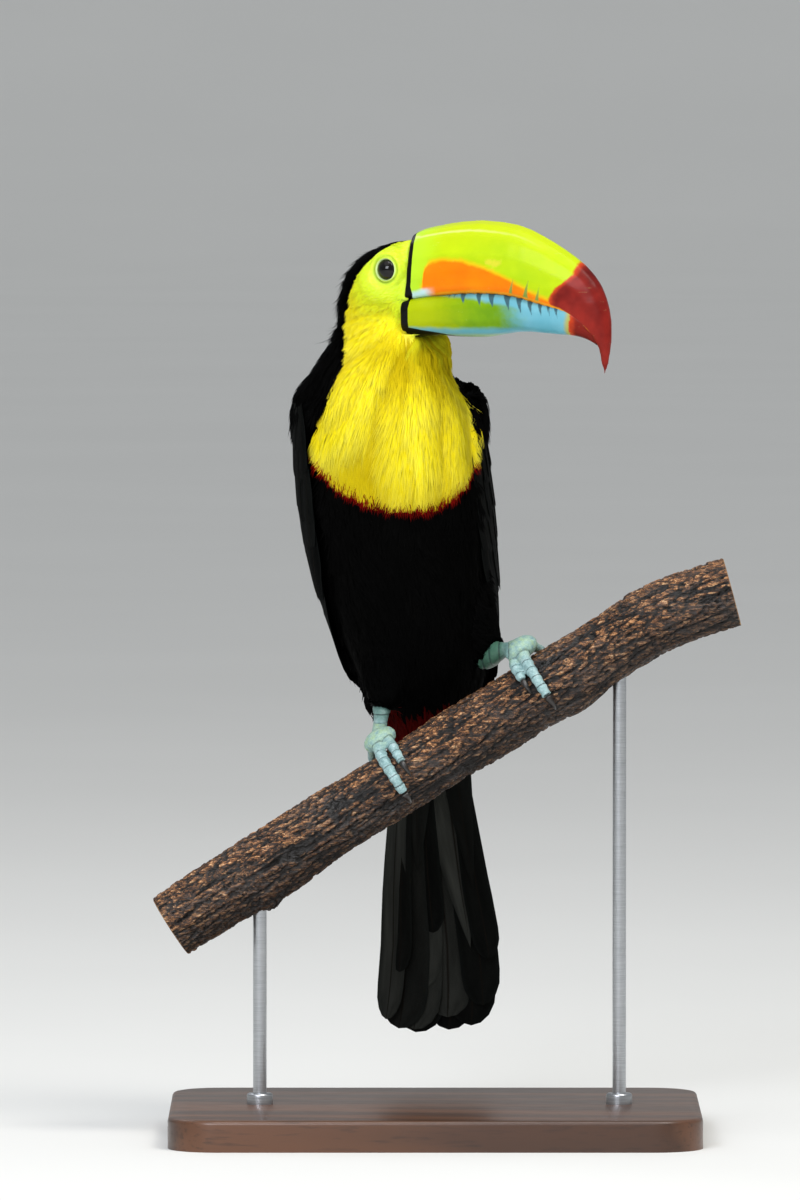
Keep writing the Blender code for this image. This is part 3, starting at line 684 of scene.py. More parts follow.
# %% [markdown]
# ## Scales on the legs
# A toucan's toes wear broad plates on top, parted by dark creases, and its shank wears a row of them too.
# The toes follow the branch, so the arcs that the toes lie in say how far along its toe each vertex is. The
# creases are pressed into the mesh and their places are kept for the material. Modelling each plate would
# give the same look for far more faces.

# %% The branch and the toes' paths
BRANCH_SLOPE = math.radians(32.4)
BRANCH_MIDDLE_Z, BRANCH_RADIUS = 168.4, 15.5
BRANCH_DROOP, DROOP_FROM = 0.0035, 80.0
KNOBS = ((-79, 4.0, 11, 200), (57, 3.2, 9, 170), (-30, 1.4, 14, 80), (96, 1.6, 12, 20))
FRONT = Vector((0, -1, 0))
# Each foot: (side, x of its grip, toes), a toe being (name, place along, degrees round, radius).
FEET = (
    ("right", -13.7, (("long", -3.2, 104, 3.0), ("short", 3.4, 66, 2.7),
                      ("outer", -7.5, -76, 2.6), ("inner", 2.0, -58, 2.3))),
    ("left", 49.4, (("long", -1.2, 97, 3.0), ("short", -6.8, 58, 2.7),
                    ("outer", 6.5, -76, 2.6), ("inner", -2.5, -58, 2.3))),
)
KNUCKLE_HEIGHT = 5.4


def branch_at(x):
    """(middle, direction up off the bark) of the branch at this x."""
    past = max(0.0, x - DROOP_FROM)
    slope = math.tan(BRANCH_SLOPE)
    along = Vector((1, 0, slope - 2 * BRANCH_DROOP * past)).normalized()
    middle = Vector((x, 0, BRANCH_MIDDLE_Z + slope * x - BRANCH_DROOP * past**2))
    return middle, Vector((-along.z, 0, along.x))


def bark_radius(x, angle):
    radius = BRANCH_RADIUS + 0.5 * math.sin(x * 0.06 + 2 * angle) + 0.35 * math.sin(x * 0.13 - 3 * angle + 1)
    for place, height, length, knob_angle in KNOBS:
        turned = math.cos(angle - math.radians(knob_angle))
        radius += height * math.exp(-(((x - place) / length) ** 2)) * max(0.0, turned) ** 3
    return radius


def toe_point(grip, toe, share):
    """The middle of a toe, this share of the way from its knuckle to its claw."""
    _, place, wrap, radius = toe
    share = 0.06 + 0.94 * share
    lift = KNUCKLE_HEIGHT / 2 * max(0.0, 1 - share / 0.42)
    spread = min(1.0, 0.35 + 1.6 * share)
    x = grip + place * spread * math.cos(BRANCH_SLOPE)
    middle, up = branch_at(x)
    turn = math.radians(wrap * share)
    out = bark_radius(x, turn) + radius * 0.9 + lift
    return middle + (up * math.cos(turn) + FRONT * math.sin(turn)) * out


# %% Measure along the toes and shanks
TOE_STEPS = 40
LEFT_SHANK_FROM = 32.5

toe_dots, toe_marks = [], []
for _, grip, toes in FEET:
    for toe in toes:
        line = np.array([toe_point(grip, toe, k / TOE_STEPS) for k in range(TOE_STEPS + 1)])
        steps = np.linalg.norm(np.diff(line, axis=0), axis=1)
        toe_dots.append(line)
        toe_marks.append(np.append(0.0, np.cumsum(steps)))
toe_dots, toe_marks = np.concatenate(toe_dots), np.concatenate(toe_marks)

points = points_of(legs)
spread = np.linalg.norm(points[:, None] - toe_dots[None, ::2], axis=2)
nearest = spread.argmin(axis=1) * 2
toe_along = toe_marks[nearest] + np.sum((points - toe_dots[nearest]) * unit(
    toe_dots[np.minimum(nearest + 1, len(toe_dots) - 1)] - toe_dots[nearest - 1]), axis=1)
on_toe = spread.min(axis=1) < 4.2
knuckles = np.array([[grip, branch_at(grip)[0].z] for _, grip, _ in FEET])
is_left = np.abs(points[:, 0] - knuckles[0, 0]) > np.abs(points[:, 0] - knuckles[1, 0])
# The right shank stands up from its foot, and the left one comes in from the side.
shank_along = np.where(is_left, LEFT_SHANK_FROM - points[:, 0], points[:, 2] - knuckles[0, 1] - 24.0)
print("toes:", sum(len(toes) for *_, toes in FEET), "longest:", round(float(toe_marks.max()), 1), "mm")

# %% Press the creases between the scales
TOE_PLATE, TOE_SCALE, SHANK_PLATE = 4.6, 1.55, 3.4  # spacing in mm
CREASE_DEPTH, CREASE_HALF_WIDTH = 0.32, 0.34
KNUCKLE_REACH = 8.0  # mm of each toe that belongs to the knobbly knuckle
LEFT_STOUTER, RIGHT_STOUTER = 2.4, 0.9  # mm that the shanks' scales stand out


def crease(along, spacing, half_width):
    """1 in the middle of a crease, falling to 0 at its sides."""
    off = np.abs((along / spacing + 0.5) % 1 - 0.5) * spacing
    return np.clip(1 - off / half_width, 0, 1)


plates = crease(toe_along - 1.4, TOE_PLATE, CREASE_HALF_WIDTH * 1.25)
scales = crease(toe_along, TOE_SCALE, CREASE_HALF_WIDTH) * 0.35
toe_crease = np.maximum(plates, scales) * smooth_step(2.0, KNUCKLE_REACH, toe_along)
shank_crease = crease(shank_along, SHANK_PLATE, CREASE_HALF_WIDTH * 1.3) * (shank_along > 0)
creases = np.where(on_toe & (shank_along < 0), toe_crease, shank_crease)
wrinkles = np.array([noise.noise(Vector(p) * 0.9) for p in points])
knuckle_share = 1 - smooth_step(KNUCKLE_REACH * 0.5, KNUCKLE_REACH * 1.4, toe_along)
plump = 0.16 * np.sin(toe_along / TOE_PLATE * 2 * math.pi - 1.4) * (1 - knuckle_share)
stout = np.where(is_left, LEFT_STOUTER, RIGHT_STOUTER) * smooth_step(0.0, 7.0, shank_along)
inwards = creases * CREASE_DEPTH + 0.25 * np.abs(wrinkles) * knuckle_share - plump - stout
move_points(legs, points - normals_of(legs) * inwards[:, None])
paint(legs, "crease", creases)
paint(legs, "knuckle", knuckle_share * (shank_along < 0))
# The shank's painted shade: full on the left shank, which lies in shade, and 0.6 of it on the right.
paint(legs, "shank", smooth_step(-2.0, 4.0, shank_along) * np.where(is_left, 1.0, 0.6))
print("deepest crease:", round(float(inwards.max()), 2), "mm")

# %% [markdown]
# ## One way to grow feathers
# A feather here is a thin closed blade: a few rings of points round a middle line, drawn together at the
# tip. The middle line is traced over the skin in short steps along the lie of the coat, so a long feather
# bends with the body and never stands out at its end. All the blades of one region are a single mesh.
# Each blade also gets a small patch on the map OFBake, at its root's place on an unwrap of the skin.

# %% A flat map of the skin for the bake
BAKE_MAP_FACES = 6000
TUFT_PATCH = 0.003  # width of a feather's patch on the map, of the whole map's width

chart = new_piece("skin_chart", skin.data.copy())
modified(chart, "DECIMATE", ratio=BAKE_MAP_FACES / triangle_count(chart))
edit_mode(chart, True)
bpy.ops.uv.smart_project(angle_limit=math.radians(66), island_margin=0.004)
object_mode()
chart_tree = tree_of(chart)
chart_points = points_of(chart)
chart_uv = np.empty(len(chart.data.loops) * 2, np.float32)
chart.data.uv_layers.active.data.foreach_get("uv", chart_uv)
chart_uv = chart_uv.reshape(-1, 2)


def place_on_chart(point):
    """Where a point of the skin lies on its flat map."""
    _, _, index, _ = chart_tree.find_nearest(Vector(point))
    face = chart.data.polygons[index]
    corners = chart_points[list(face.vertices)[:3]]
    edges = corners[1:] - corners[0]
    shares, *_ = np.linalg.lstsq(edges.T, point - corners[0], rcond=None)
    shares = np.clip(shares, 0, 1)
    uv = chart_uv[list(face.loop_indices)[:3]]
    return uv[0] + shares @ (uv[1:] - uv[0])


print("chart faces:", len(chart.data.polygons))

# %% Trace feathers over the skin
skin_tree = tree_of(skin)
STEPS = 4  # stretches along each feather


def nearest_on_skin(points):
    """(places, normals) of the skin nearest to these points."""
    found = [skin_tree.find_nearest(Vector(p)) for p in points]
    return np.array([f[0] for f in found]), np.array([f[1] for f in found])


def trace(roots, lengths, lie, sway):
    """(places, normals) along each feather, from root to tip, on the skin."""
    places, normals = nearest_on_skin(roots)
    track, facing = [places], [normals]
    for _ in range(STEPS):
        way = lie(places, normals)
        side = np.cross(way, normals)
        way = unit(way + side * sway[:, None])
        moved = places + way * (lengths / STEPS)[:, None]
        places, fresh = nearest_on_skin(moved)
        normals = unit(normals * 0.5 + fresh)
        track.append(places)
        facing.append(normals)
    return np.stack(track, 1), np.stack(facing, 1)


# %% Scatter roots over the skin
skin.data.calc_loop_triangles()
corners = np.empty(len(skin.data.loop_triangles) * 3, np.int32)
skin.data.loop_triangles.foreach_get("vertices", corners)
skin_triangles = points_of(skin)[corners.reshape(-1, 3)]
print("triangles that feathers can grow on:", len(skin_triangles))


def scatter(spacing, keep, tries=9):
    """Places about this far apart on the skin, where keep(points) is true."""
    usable = keep(skin_triangles.mean(axis=1))
    a, b, c = skin_triangles[usable].transpose(1, 0, 2)
    area = np.linalg.norm(np.cross(b - a, c - a), axis=1) / 2
    count = int(area.sum() / spacing**2 * tries)
    picked = random.choice(len(area), count, p=area / area.sum())
    u, v = random.random((2, count, 1))
    over = (u + v) > 1
    u, v = np.where(over, 1 - u, u), np.where(over, 1 - v, v)
    places = a[picked] + u * (b - a)[picked] + v * (c - a)[picked]
    cells = np.floor(places / spacing + random.random(3)).astype(np.int64)
    _, first = np.unique(cells, axis=0, return_index=True)
    return places[first]


# %% Strands
STRAND_TURN = 5.5  # degrees round the chin across a strand
STRAND_LENGTH = 60.0
LOCK_TURN = 19.0  # degrees across a broad lock, which ends in a parting
PATCH = 15.0  # mm across a patch of feathers that lie alike


def strand_value(turn, reach):
    turn += 11 * noise.noise(Vector((turn / 34, reach / 26, 9.0)))
    broad = 1.5 * noise.noise(Vector((turn / 13, reach / 40, 7.0)))
    fine = 0.6 * noise.noise(Vector((turn / STRAND_TURN, reach / STRAND_LENGTH, 1.0)))
    # Across each lock the parting runs from light to dark. Through the shade that it feeds, it is painted shade
    # on the edge of a lock that lies under the next one, and painted light on its other edge.
    lock, across = divmod(turn / LOCK_TURN, 1.0)
    parting = (across - 0.5) * max(0.0, 0.55 + 1.6 * noise.noise(Vector((lock * 3.7, reach / 30, 5.0))))
    return broad + fine + 2.2 * parting


def strand_noise(points):
    """(a value, its slope sideways): alike along the lie of the coat and different across it."""
    out = points - CHIN
    reach = np.linalg.norm(out, axis=1)
    turn = np.degrees(np.arctan2(out @ BODY_LEFT, -out[:, 2])) + 0.15 * round_trunk(points)
    here = np.array([strand_value(t, r) for t, r in zip(turn, reach)])
    beside = np.array([strand_value(t + 0.4, r) for t, r in zip(turn, reach)])
    return here, np.clip((beside - here) / 0.4 * STRAND_TURN, -2.0, 2.0)


# %% [markdown]
# A blade is too narrow for its own shading to read well: thousands of tiny slopes would look like gravel.
# So each blade keeps the direction that the skin faces under it, bent a little over the blade's width. That
# is how a groomed coat looks in life, where the barbs of neighbours hook into one surface. A particle
# system's hair was the other way; it gives curves, and this model's coat has to be solid mesh.

# %% Build blades
# Sections of a blade: a lock is a three-sided bundle, a vane is flat with a raised shaft, and so is a quill.
SECTIONS = {
    "lock": np.array(((-1.0, -0.15), (1.0, -0.15), (0.0, 0.55))),
    "vane": np.array(((-1.0, -0.2), (0.0, -0.1), (1.0, -0.2), (0.0, 0.22))),
    "quill": np.array(((-1.0, -0.1), (0.0, -0.07), (1.0, -0.1), (0.5, -0.03), (0.0, 0.03), (-0.5, -0.03))),
}
SECTION_SHAPES = {"lock": np.array((0.7, 1.0, 0.95, 0.66, 0.0)), "vane": np.array((0.45, 0.9, 1.0, 0.8, 0.0))}


def build_blades(name, track, facing, half_width, rise, section, shape, numbers, charted,
                 roundness=0.3, tilt=0.0):
    """One mesh of closed blades along these tracks.

    shape gives the share of the half width at each step, rise the height off the skin at each step.
    numbers holds one value for each blade under each name that a material reads. roundness is how far
    the shading turns from the middle of a blade to its sides, and tilt how far a whole blade's turns.
    """
    count, rings = track.shape[0], track.shape[1]
    profile = SECTIONS[section]
    sides = len(profile)
    heading = unit(np.gradient(track, axis=1))
    across = unit(np.cross(heading, facing))
    middle = track + facing * rise[..., None]
    width = half_width[:, None] * shape[None, :]
    body = (
        middle[:, :-1, None]
        + across[:, :-1, None] * (width[:, :-1, None] * profile[None, None, :, 0])[..., None]
        + facing[:, :-1, None] * (width[:, :-1, None] * profile[None, None, :, 1])[..., None]
    )
    verts = np.concatenate((body.reshape(count, -1, 3), middle[:, -1:]), axis=1)
    per_blade = verts.shape[1]
    turned = profile[None, None, :, :1] * roundness + np.reshape(tilt, (-1, 1, 1, 1))
    shown = facing[:, :-1, None] + across[:, :-1, None] * turned
    shown = np.concatenate((unit(shown).reshape(count, -1, 3), facing[:, -1:]), axis=1).reshape(-1, 3)
    faces = []
    for ring in range(rings - 2):
        for k in range(sides):
            a, b = ring * sides + k, ring * sides + (k + 1) % sides
            faces.append((a, a + sides, b + sides, b))
    last = (rings - 2) * sides
    faces += [(last + (k + 1) % sides, last + k, per_blade - 1) for k in range(sides)]
    faces.append(tuple(range(sides)))
    sizes = np.array([len(face) for face in faces])
    loops = np.concatenate([np.array(face) for face in faces])
    offsets = np.arange(count)[:, None] * per_blade
    mesh = bpy.data.meshes.new(name)
    mesh.vertices.add(count * per_blade)
    mesh.vertices.foreach_set("co", (verts * MM).astype(np.float32).ravel())
    mesh.loops.add(count * len(loops))
    mesh.loops.foreach_set("vertex_index", (loops[None] + offsets).astype(np.int32).ravel())
    starts = np.concatenate(((0,), np.cumsum(sizes)[:-1]))
    mesh.polygons.add(count * len(faces))
    all_starts = starts[None] + np.arange(count)[:, None] * len(loops)
    mesh.polygons.foreach_set("loop_start", all_starts.astype(np.int32).ravel())
    mesh.polygons.foreach_set("use_smooth", np.ones(count * len(faces), bool))
    mesh.update(calc_edges=True)
    mesh.validate()
    mesh.normals_split_custom_set_from_vertices(shown.tolist())
    across_at = np.tile(profile[:, 0] * 0.5 + 0.5, rings - 1)
    along_at = np.repeat(np.arange(rings - 1) / (rings - 1), sides)
    local = np.stack((np.append(across_at, 0.5)[loops], np.append(along_at, 1.0)[loops]), -1)
    vane_map = mesh.uv_layers.new(name="Vane")
    vane_map.data.foreach_set("uv", np.tile(local, (count, 1)).astype(np.float32).ravel())
    bake_map = mesh.uv_layers.new(name="OFBake")
    patches = charted[:, None] + (local[None] - 0.5) * TUFT_PATCH
    bake_map.data.foreach_set("uv", np.clip(patches, 0, 1).astype(np.float32).ravel())
    piece = new_piece(name, mesh)
    for key, values in numbers.items():
        paint(piece, key, np.repeat(values, per_blade))
    paint(piece, "tip", np.tile(np.append(along_at, 1.0), count))
    return piece


coat_layer = np.empty(len(skin.data.vertices), np.float32)
skin.data.attributes["coat"].data.foreach_get("value", coat_layer)
skin_corner = np.array([face.vertices[0] for face in skin.data.polygons])
print("coat depth by the skin's vertices:", len(coat_layer))

# %% Grow feathers on roots
ROOT_SUNK = 0.12  # mm that a blade's root lies in the skin
MIDDLE_SHADE = 0.62


def depth_of_coat(points):
    """How deep the coat is at these places of the skin."""
    faces = [skin_tree.find_nearest(Vector(p))[2] for p in points]
    return coat_layer[skin_corner[faces]]


def grow(name, roots, lengths, half_width, fill, section="lock", locks=1, fan=0.0, sway=0.12,
         ruffle=0.1, gather=0.1, lowest=0.3, rises_by=0.4, streaky=0.25, relief=0.2, wander=0.3,
         darker=0.0, uneven=0.1):
    """Feathers on these roots, each of one or more blades that fan out from it.

    fill is the share of the coat's depth that they reach, lowest the share of it at which the lowest
    of them lie, and rises_by the share of its length after which a feather is at its own level. The
    strands that they gather in differ in shade by streaky and catch the light on their sides by relief, and
    whole patches of feathers wander off the lie by up to this much. darker is added to their shade, and the
    bib and the face are given painted shade and painted light through it. uneven is how much the shade
    differs from one blade to the next.
    """
    count = len(roots)
    depth = depth_of_coat(roots)[:, None] * fill
    charted = np.array([place_on_chart(root) for root in roots])
    streak, slope = strand_noise(roots)
    patches = np.array([noise.noise(Vector(root) / PATCH) for root in roots])
    swayed = random.normal(0, sway, count) - slope * gather + patches * wander
    track, facing = trace(roots, lengths, lie_of_coat, swayed)
    share = np.linspace(0, 1, STEPS + 1)
    across = unit(np.cross(unit(np.gradient(track, axis=1)), facing))
    tracks, facings, rises, widths, picked = [], [], [], [], []
    for lock in range(locks):
        aside = fan * (lock - (locks - 1) / 2) + random.normal(0, fan * 0.3, count)
        tracks.append(track + across * (aside[:, None] * share[None] ** 1.4)[..., None])
        facings.append(facing)
        level = random.uniform(lowest, 1.0, (count, 1))
        lift = depth * level * np.clip(share[None] / rises_by, 0, 1) ** 0.7
        stand = np.maximum(0, random.normal(0, 1, (count, 1))) * (ruffle * lengths)[:, None] * 0.5
        gathered = 1 + 0.25 * np.clip(-streak, -1, 1)[:, None]
        rises.append(lift * gathered - ROOT_SUNK + stand * share[None] ** 2)
        widths.append(half_width * random.uniform(0.8, 1.2, count))
        picked.append(np.arange(count))
    picked = np.concatenate(picked)
    tracks, facings, rises, widths = (np.concatenate(parts) for parts in (tracks, facings, rises, widths))
    shade = (MIDDLE_SHADE + streaky * streak + darker)[picked] + random.normal(0, uneven, len(picked))
    numbers = {
        "shade": np.clip(shade, 0, 1.5),
        "tuft": random.random(count)[picked],
        "lime": lime_share(roots)[picked],
    }
    return build_blades(name, tracks, facings, widths, rises, section, SECTION_SHAPES[section], numbers,
                        charted[picked], tilt=-relief * slope[picked])


# %% [markdown]
# The skin and the legs are one organic skin in two finishes. Each vertex keeps numbers that the finishes
# read: how far it is inside the yellow, how green, how near the lid's rim, and how much painted shade lies
# in the crease behind the lid and at the corner of the mouth. Painting an image map would hold less detail
# than numbers on a mesh this fine. The two meshes are joined last.

# %% Colour the skin and join the legs to it
OFF = 99.0  # mm added to the distance from the eye where there is no lid
EYE_CREASE, CREASE_SOFT = 5.7, 0.55

points = points_of(skin)
head = to_head(points)
ring = from_eye(head) + OFF * ((np.abs(head[:, 1]) < OFF_MIDDLE) | (points[:, 2] < 360))
paint(skin, "yellow", np.where(on_wing(points), -2.0, inside_yellow(points)))
paint(skin, "lime", lime_share(points))
paint(skin, "lid", smooth_step(3.9, 4.3, ring) * (1 - smooth_step(4.75, 5.3, ring)))
# fold is painted shade: in the crease behind the lid, strongest below the eye, and in the crease at the corner
# of the mouth.
under_eye = 0.5 + 0.5 * np.cos(round_eye(head) - math.radians(240))
fold = np.exp(-(((ring - EYE_CREASE) / CREASE_SOFT) ** 2)) * (0.25 + 0.55 * under_eye)
gape_shade = np.exp(-(((head[:, 2] + 13.0) / 0.5) ** 2)) * (1 - smooth_step(5.0, 7.5, bill_seat(head)))
paint(skin, "fold", np.maximum(fold, gape_shade * (bill_seat(head) < 8)))
on_leg = sum(share for share, _ in on_thighs(points))
paint(skin, "red", (points[:, 2] < 192) & (np.abs(round_trunk(points)) < 100) & (on_leg < 0.3))
skin.data.materials.append(face_skin)
legs.data.materials.append(foot_skin)
pick(skin)
legs.select_set(True)
bpy.ops.object.join()
shade_round(skin)
finish_piece(skin, None, "face_skin", *COATED, *BARE)

# %% [markdown]
# ## The coat, region by region
# The smallest feathers are on the face, the longest and silkiest on the bib, and soft rounded ones cover
# the black body. Each region is one call that scatters roots and grows feathers on them, in rows of numbers
# where regions differ only by those. Roots are kept where the tip will fall inside the region's colour, so
# no colour strays over a border.

# %% Choose a region by its tips
FACE_CLEAR = 6.9  # the lids stay bare
# The low half of the face and the cheek are lifted by painted light.
CHEEK_PAINTED_LIGHT = 0.4  # how much paler than the bib the low half of the face is
# How far the horn's rim reaches back over the face, at heights over the line between the bill's halves.
RIM_HEIGHTS = (-16.0, -12.5, -3.0, 0.0, 3.0, 8.0, 20.0)
RIM_BACK = (2.0, 3.9, 3.9, 3.4, 1.9, 1.0, 0.6)


def tips_of(points, length):
    """Roughly where feathers of this length on these roots end."""
    normals = unit(points - trunk_middle(points[:, 2]))
    return points + lie_of_coat(points, normals) * np.asarray(length)[..., None] * 0.8


def off_the_eye(points):
    """Behind the bill and off the lids."""
    head = to_head(points)
    below_head = points[:, 2] < 357
    rim = np.interp(above_edge(head), RIM_HEIGHTS, RIM_BACK)
    return below_head | ((from_eye(head) > FACE_CLEAR) & (bill_seat(head) > rim + 0.3))


def on_face(points):
    head = to_head(points)
    near = (from_eye(head) < 15) | ((bill_seat(head) < 5) & (head[:, 2] > -16))
    return near & (points[:, 2] > 362) & off_the_eye(points)


def face_length(points):
    head = to_head(points)
    return 1.3 + 0.16 * np.maximum(0, np.minimum(from_eye(head) - 7, bill_seat(head)))


def roots_between(low, high, spacing, keep):
    """Roots this far apart where keep(points) is true, between two heights."""
    return scatter(spacing, lambda p: (p[:, 2] > low) & (p[:, 2] <= high) & keep(p))


# %% Face
roots = scatter(0.85, lambda p: on_face(p) & (inside_yellow(p) > 1.0))
lengths = face_length(roots) * random.uniform(0.8, 1.25, len(roots))
# The low face's feathers get painted light.
low_face = 1 - smooth_step(2.0, 14.0, to_head(roots)[:, 2])
face_coat = grow("coat_face", roots, lengths, 0.17, 1.0, sway=0.15, ruffle=0.0, lowest=0.5,
                 darker=-CHEEK_PAINTED_LIGHT * low_face)
print("face feathers:", len(roots), "up to", round(float(lengths.max()), 1), "mm")

# %% [markdown]
# The bib is silk: long, thin feathers in bundles of three, which are cut shorter near the border so that
# they end at it. They carry painted shade low on the breast and in the hollow under the bill, and painted
# light on the cheek.

# %% Throat and bib
CHEEK_FRONT = 11.0  # mm of the feathers just behind the gape, which hide the edge of the throat


def silk_length(points):
    head = to_head(points)
    from_face = np.minimum(from_eye(head) - 13, bill_seat(head) + 0.6 * np.maximum(0, -14 - head[:, 2]))
    on_cheek = np.clip(3.0 + 0.28 * from_face, 3.0, 9.0)
    on_cheek = np.where((points[:, 2] < 359) & (bill_seat(head) < 6), CHEEK_FRONT, on_cheek)
    return on_cheek + (20.0 - on_cheek) * (1 - smooth_step(318, 366, points[:, 2]))


def in_silk(points):
    """Inside the yellow, and away from the short feathers of the face."""
    return (inside_yellow(points) > 2.5) & off_the_eye(points) & ~on_face(points) & ~on_wing(points)


def cut_to_the_edge(points, lengths):
    """These lengths, shortened where a tip would fall outside the yellow, some more and some less."""
    margin = random.normal(0.7, 0.8, len(points))
    for _ in range(9):
        outside = inside_yellow(tips_of(points, lengths * 1.15)) < margin
        lengths = np.where(outside, lengths * 0.85, lengths)
    return np.maximum(lengths, 3.0)


# (name, lowest and highest root, spacing, half width, fan)
SILK = (
    ("coat_throat", 342.0, 420.0, 0.98, 0.16, 0.7),
    ("coat_breast", 312.0, 342.0, 1.08, 0.19, 0.9),
    ("coat_bib", 260.0, 312.0, 1.08, 0.2, 0.9),
)
yellow_coats = [face_coat]


def silk_painted_shade(points):
    """Painted shade low on the bib and in the hollow under the bill, and painted light on the cheek."""
    low = 1 - smooth_step(288.0, 328.0, points[:, 2])
    hollow = smooth_step(330.0, 350.0, points[:, 2]) * (1 - smooth_step(352.0, 362.0, points[:, 2]))
    under_bill = smooth_step(-36.0, -8.0, points[:, 0])
    cheek = smooth_step(355.0, 374.0, points[:, 2])
    return 0.04 + 0.52 * low + 0.8 * hollow * under_bill - CHEEK_PAINTED_LIGHT * cheek


for name, low, high, spacing, half_width, fan in SILK:
    roots = roots_between(low, high, spacing, in_silk)
    lengths = cut_to_the_edge(roots, silk_length(roots) * random.uniform(0.8, 1.2, len(roots)))
    yellow_coats.append(grow(name, roots, lengths, half_width, 1.0, locks=3, fan=fan, sway=0.03, ruffle=0.012,
                             gather=0.04, lowest=0.6, streaky=0.36, relief=0.3, wander=0.2, uneven=0.04,
                             darker=silk_painted_shade(roots)))
    print(name, "feathers:", len(roots), "up to", round(float(lengths.max()), 1), "mm")


# %% [markdown]
# A thin red band edges the bib below, and the feathers under the tail are red too, in a darker red that is
# painted shade. The band is a second row whose tips show just past the yellow ones, darker at its middle where
# the two sides meet.

# %% Red rim of the bib, and red under the tail
def in_rim(points):
    tips = tips_of(points, 9.0)
    edge = inside_yellow(tips)
    low = (points[:, 2] < 312) & (np.abs(round_trunk(points)) < 84)
    return (edge < 0.2) & (edge > -3.4) & low & ~on_wing(points)


roots = scatter(0.85, in_rim)
lengths = random.uniform(6.0, 10.0, len(roots))
rim_middle = 1 - smooth_step(10.0, 34.0, np.abs(round_trunk(roots)))
rim_coat = grow("coat_red_rim", roots, lengths, 0.17, 1.0, locks=3, fan=1.0, ruffle=0.02,
                darker=0.3 * rim_middle)


def under_tail(points):
    height = 195 + 4 * np.array([noise.noise(Vector(p) / 7) for p in points])
    below = (points[:, 2] < height) & (np.abs(round_trunk(points)) < 100)
    return below & ~on_wing(points) & (sum(share for share, _ in on_thighs(points)) < 0.3)


roots = roots_between(170.0, 420.0, 1.9, under_tail)
lengths = random.uniform(12.0, 17.0, len(roots))
undertail_coat = grow("coat_undertail", roots, lengths, 0.5, 1.3, locks=3, fan=1.6)
print("red feathers:", triangle_count(rim_coat) + triangle_count(undertail_coat), "triangles")


# %% [markdown]
# The black is dense and almost without sheen: short on the crown, long and loose on the mantle and belly. A
# few broad vanes lie under and between the tufts, as contour feathers do.

# %% Black cap, mantle, breast and thighs
def black_length(points):
    head = to_head(points)
    crown = 4.0 + 0.16 * np.maximum(0, bill_seat(head))
    return np.where(points[:, 2] > 358, np.minimum(crown, 9.0), 12.5)


def in_black(points):
    """Not yellow at the tip, and not where the long wing feathers or the red ones lie."""
    tips = tips_of(points, black_length(points))
    outside = ((inside_yellow(points) < 0.2) & (inside_yellow(tips) < 0.5)) | on_wing(points)
    return outside & off_the_eye(points) & ~under_tail(points)


def in_black_above_wings(points):
    return in_black(points) & (~on_wing(points) | (points[:, 2] > 320))


# (name, lowest and highest root, spacing, half width, blades to a tuft, fan, ruffle, on the nape, fill)
BLACK = (
    ("coat_cap", 358.0, 420.0, 1.15, 0.26, 3, 0.9, 0.04, 0.38, 1.35),
    ("coat_mantle", 300.0, 358.0, 1.95, 0.42, 4, 1.8, 0.1, 0.1, 1.1),
    ("coat_flanks", 225.0, 300.0, 2.1, 0.5, 4, 1.9, 0.03, 0.03, 1.0),
    ("coat_belly", 150.0, 225.0, 2.1, 0.5, 4, 1.9, 0.03, 0.03, 1.0),
)
black_coats = []
for name, low, high, spacing, half_width, locks, fan, ruffle, on_nape, fill in BLACK:
    roots = roots_between(low, high, spacing, in_black_above_wings)
    lengths = black_length(roots) * random.uniform(0.85, 1.2, len(roots))
    # The crown is sleek, and the nape's feathers stand out a little at their tips.
    ruffled = ruffle + (on_nape - ruffle) * smooth_step(8.0, 22.0, bill_seat(to_head(roots)))
    black_coats.append(grow(name, roots, lengths, half_width, fill, locks=locks, fan=fan, sway=0.06,
                            ruffle=ruffled))

roots = scatter(3.6, lambda p: in_black_above_wings(p) & (p[:, 2] < 316))
lengths = black_length(roots) * random.uniform(1.0, 1.2, len(roots))
black_coats.append(grow("coat_contour", roots, lengths, 3.0, 0.75, section="vane", ruffle=0.03, lowest=0.7))
print("coat so far:", sum(triangle_count(piece) for piece in yellow_coats + black_coats))

# %% [markdown]
# ## The bill
# A toucan's bill is a light bony foam under a thin glossy sheath of horn. The solids give its form, so each
# half starts as a remeshed copy that is smoothed until no facet shows. Its cutting edge gets shallow
# forward-pointing teeth, and each vertex keeps its distances from the edge, the base and the colour
# borders, so that the material can draw crisp lines between them.

# %% Smooth copies of the bill's halves
BILL_GRID = 0.65

upper_bill = smoothed(remeshed_copy("horn_upper_bill", BILL_GRID, "upper_bill"), 14)
lower_bill = smoothed(remeshed_copy("horn_lower_bill", BILL_GRID, "lower_bill"), 14)
print("bill faces:", len(upper_bill.data.polygons), len(lower_bill.data.polygons))

# %% [markdown]
# The rim of the horn lies over the face as a cuff does over a hand. So the base of each half is drawn back
# and flared a little. It reaches furthest back round the corner of the mouth and on the lower half. Faint
# waves run along the sheath as it grew in layers. All of it moves the vertices, so that the outline of the
# bill shows the teeth too, which a bump in the finish would not.

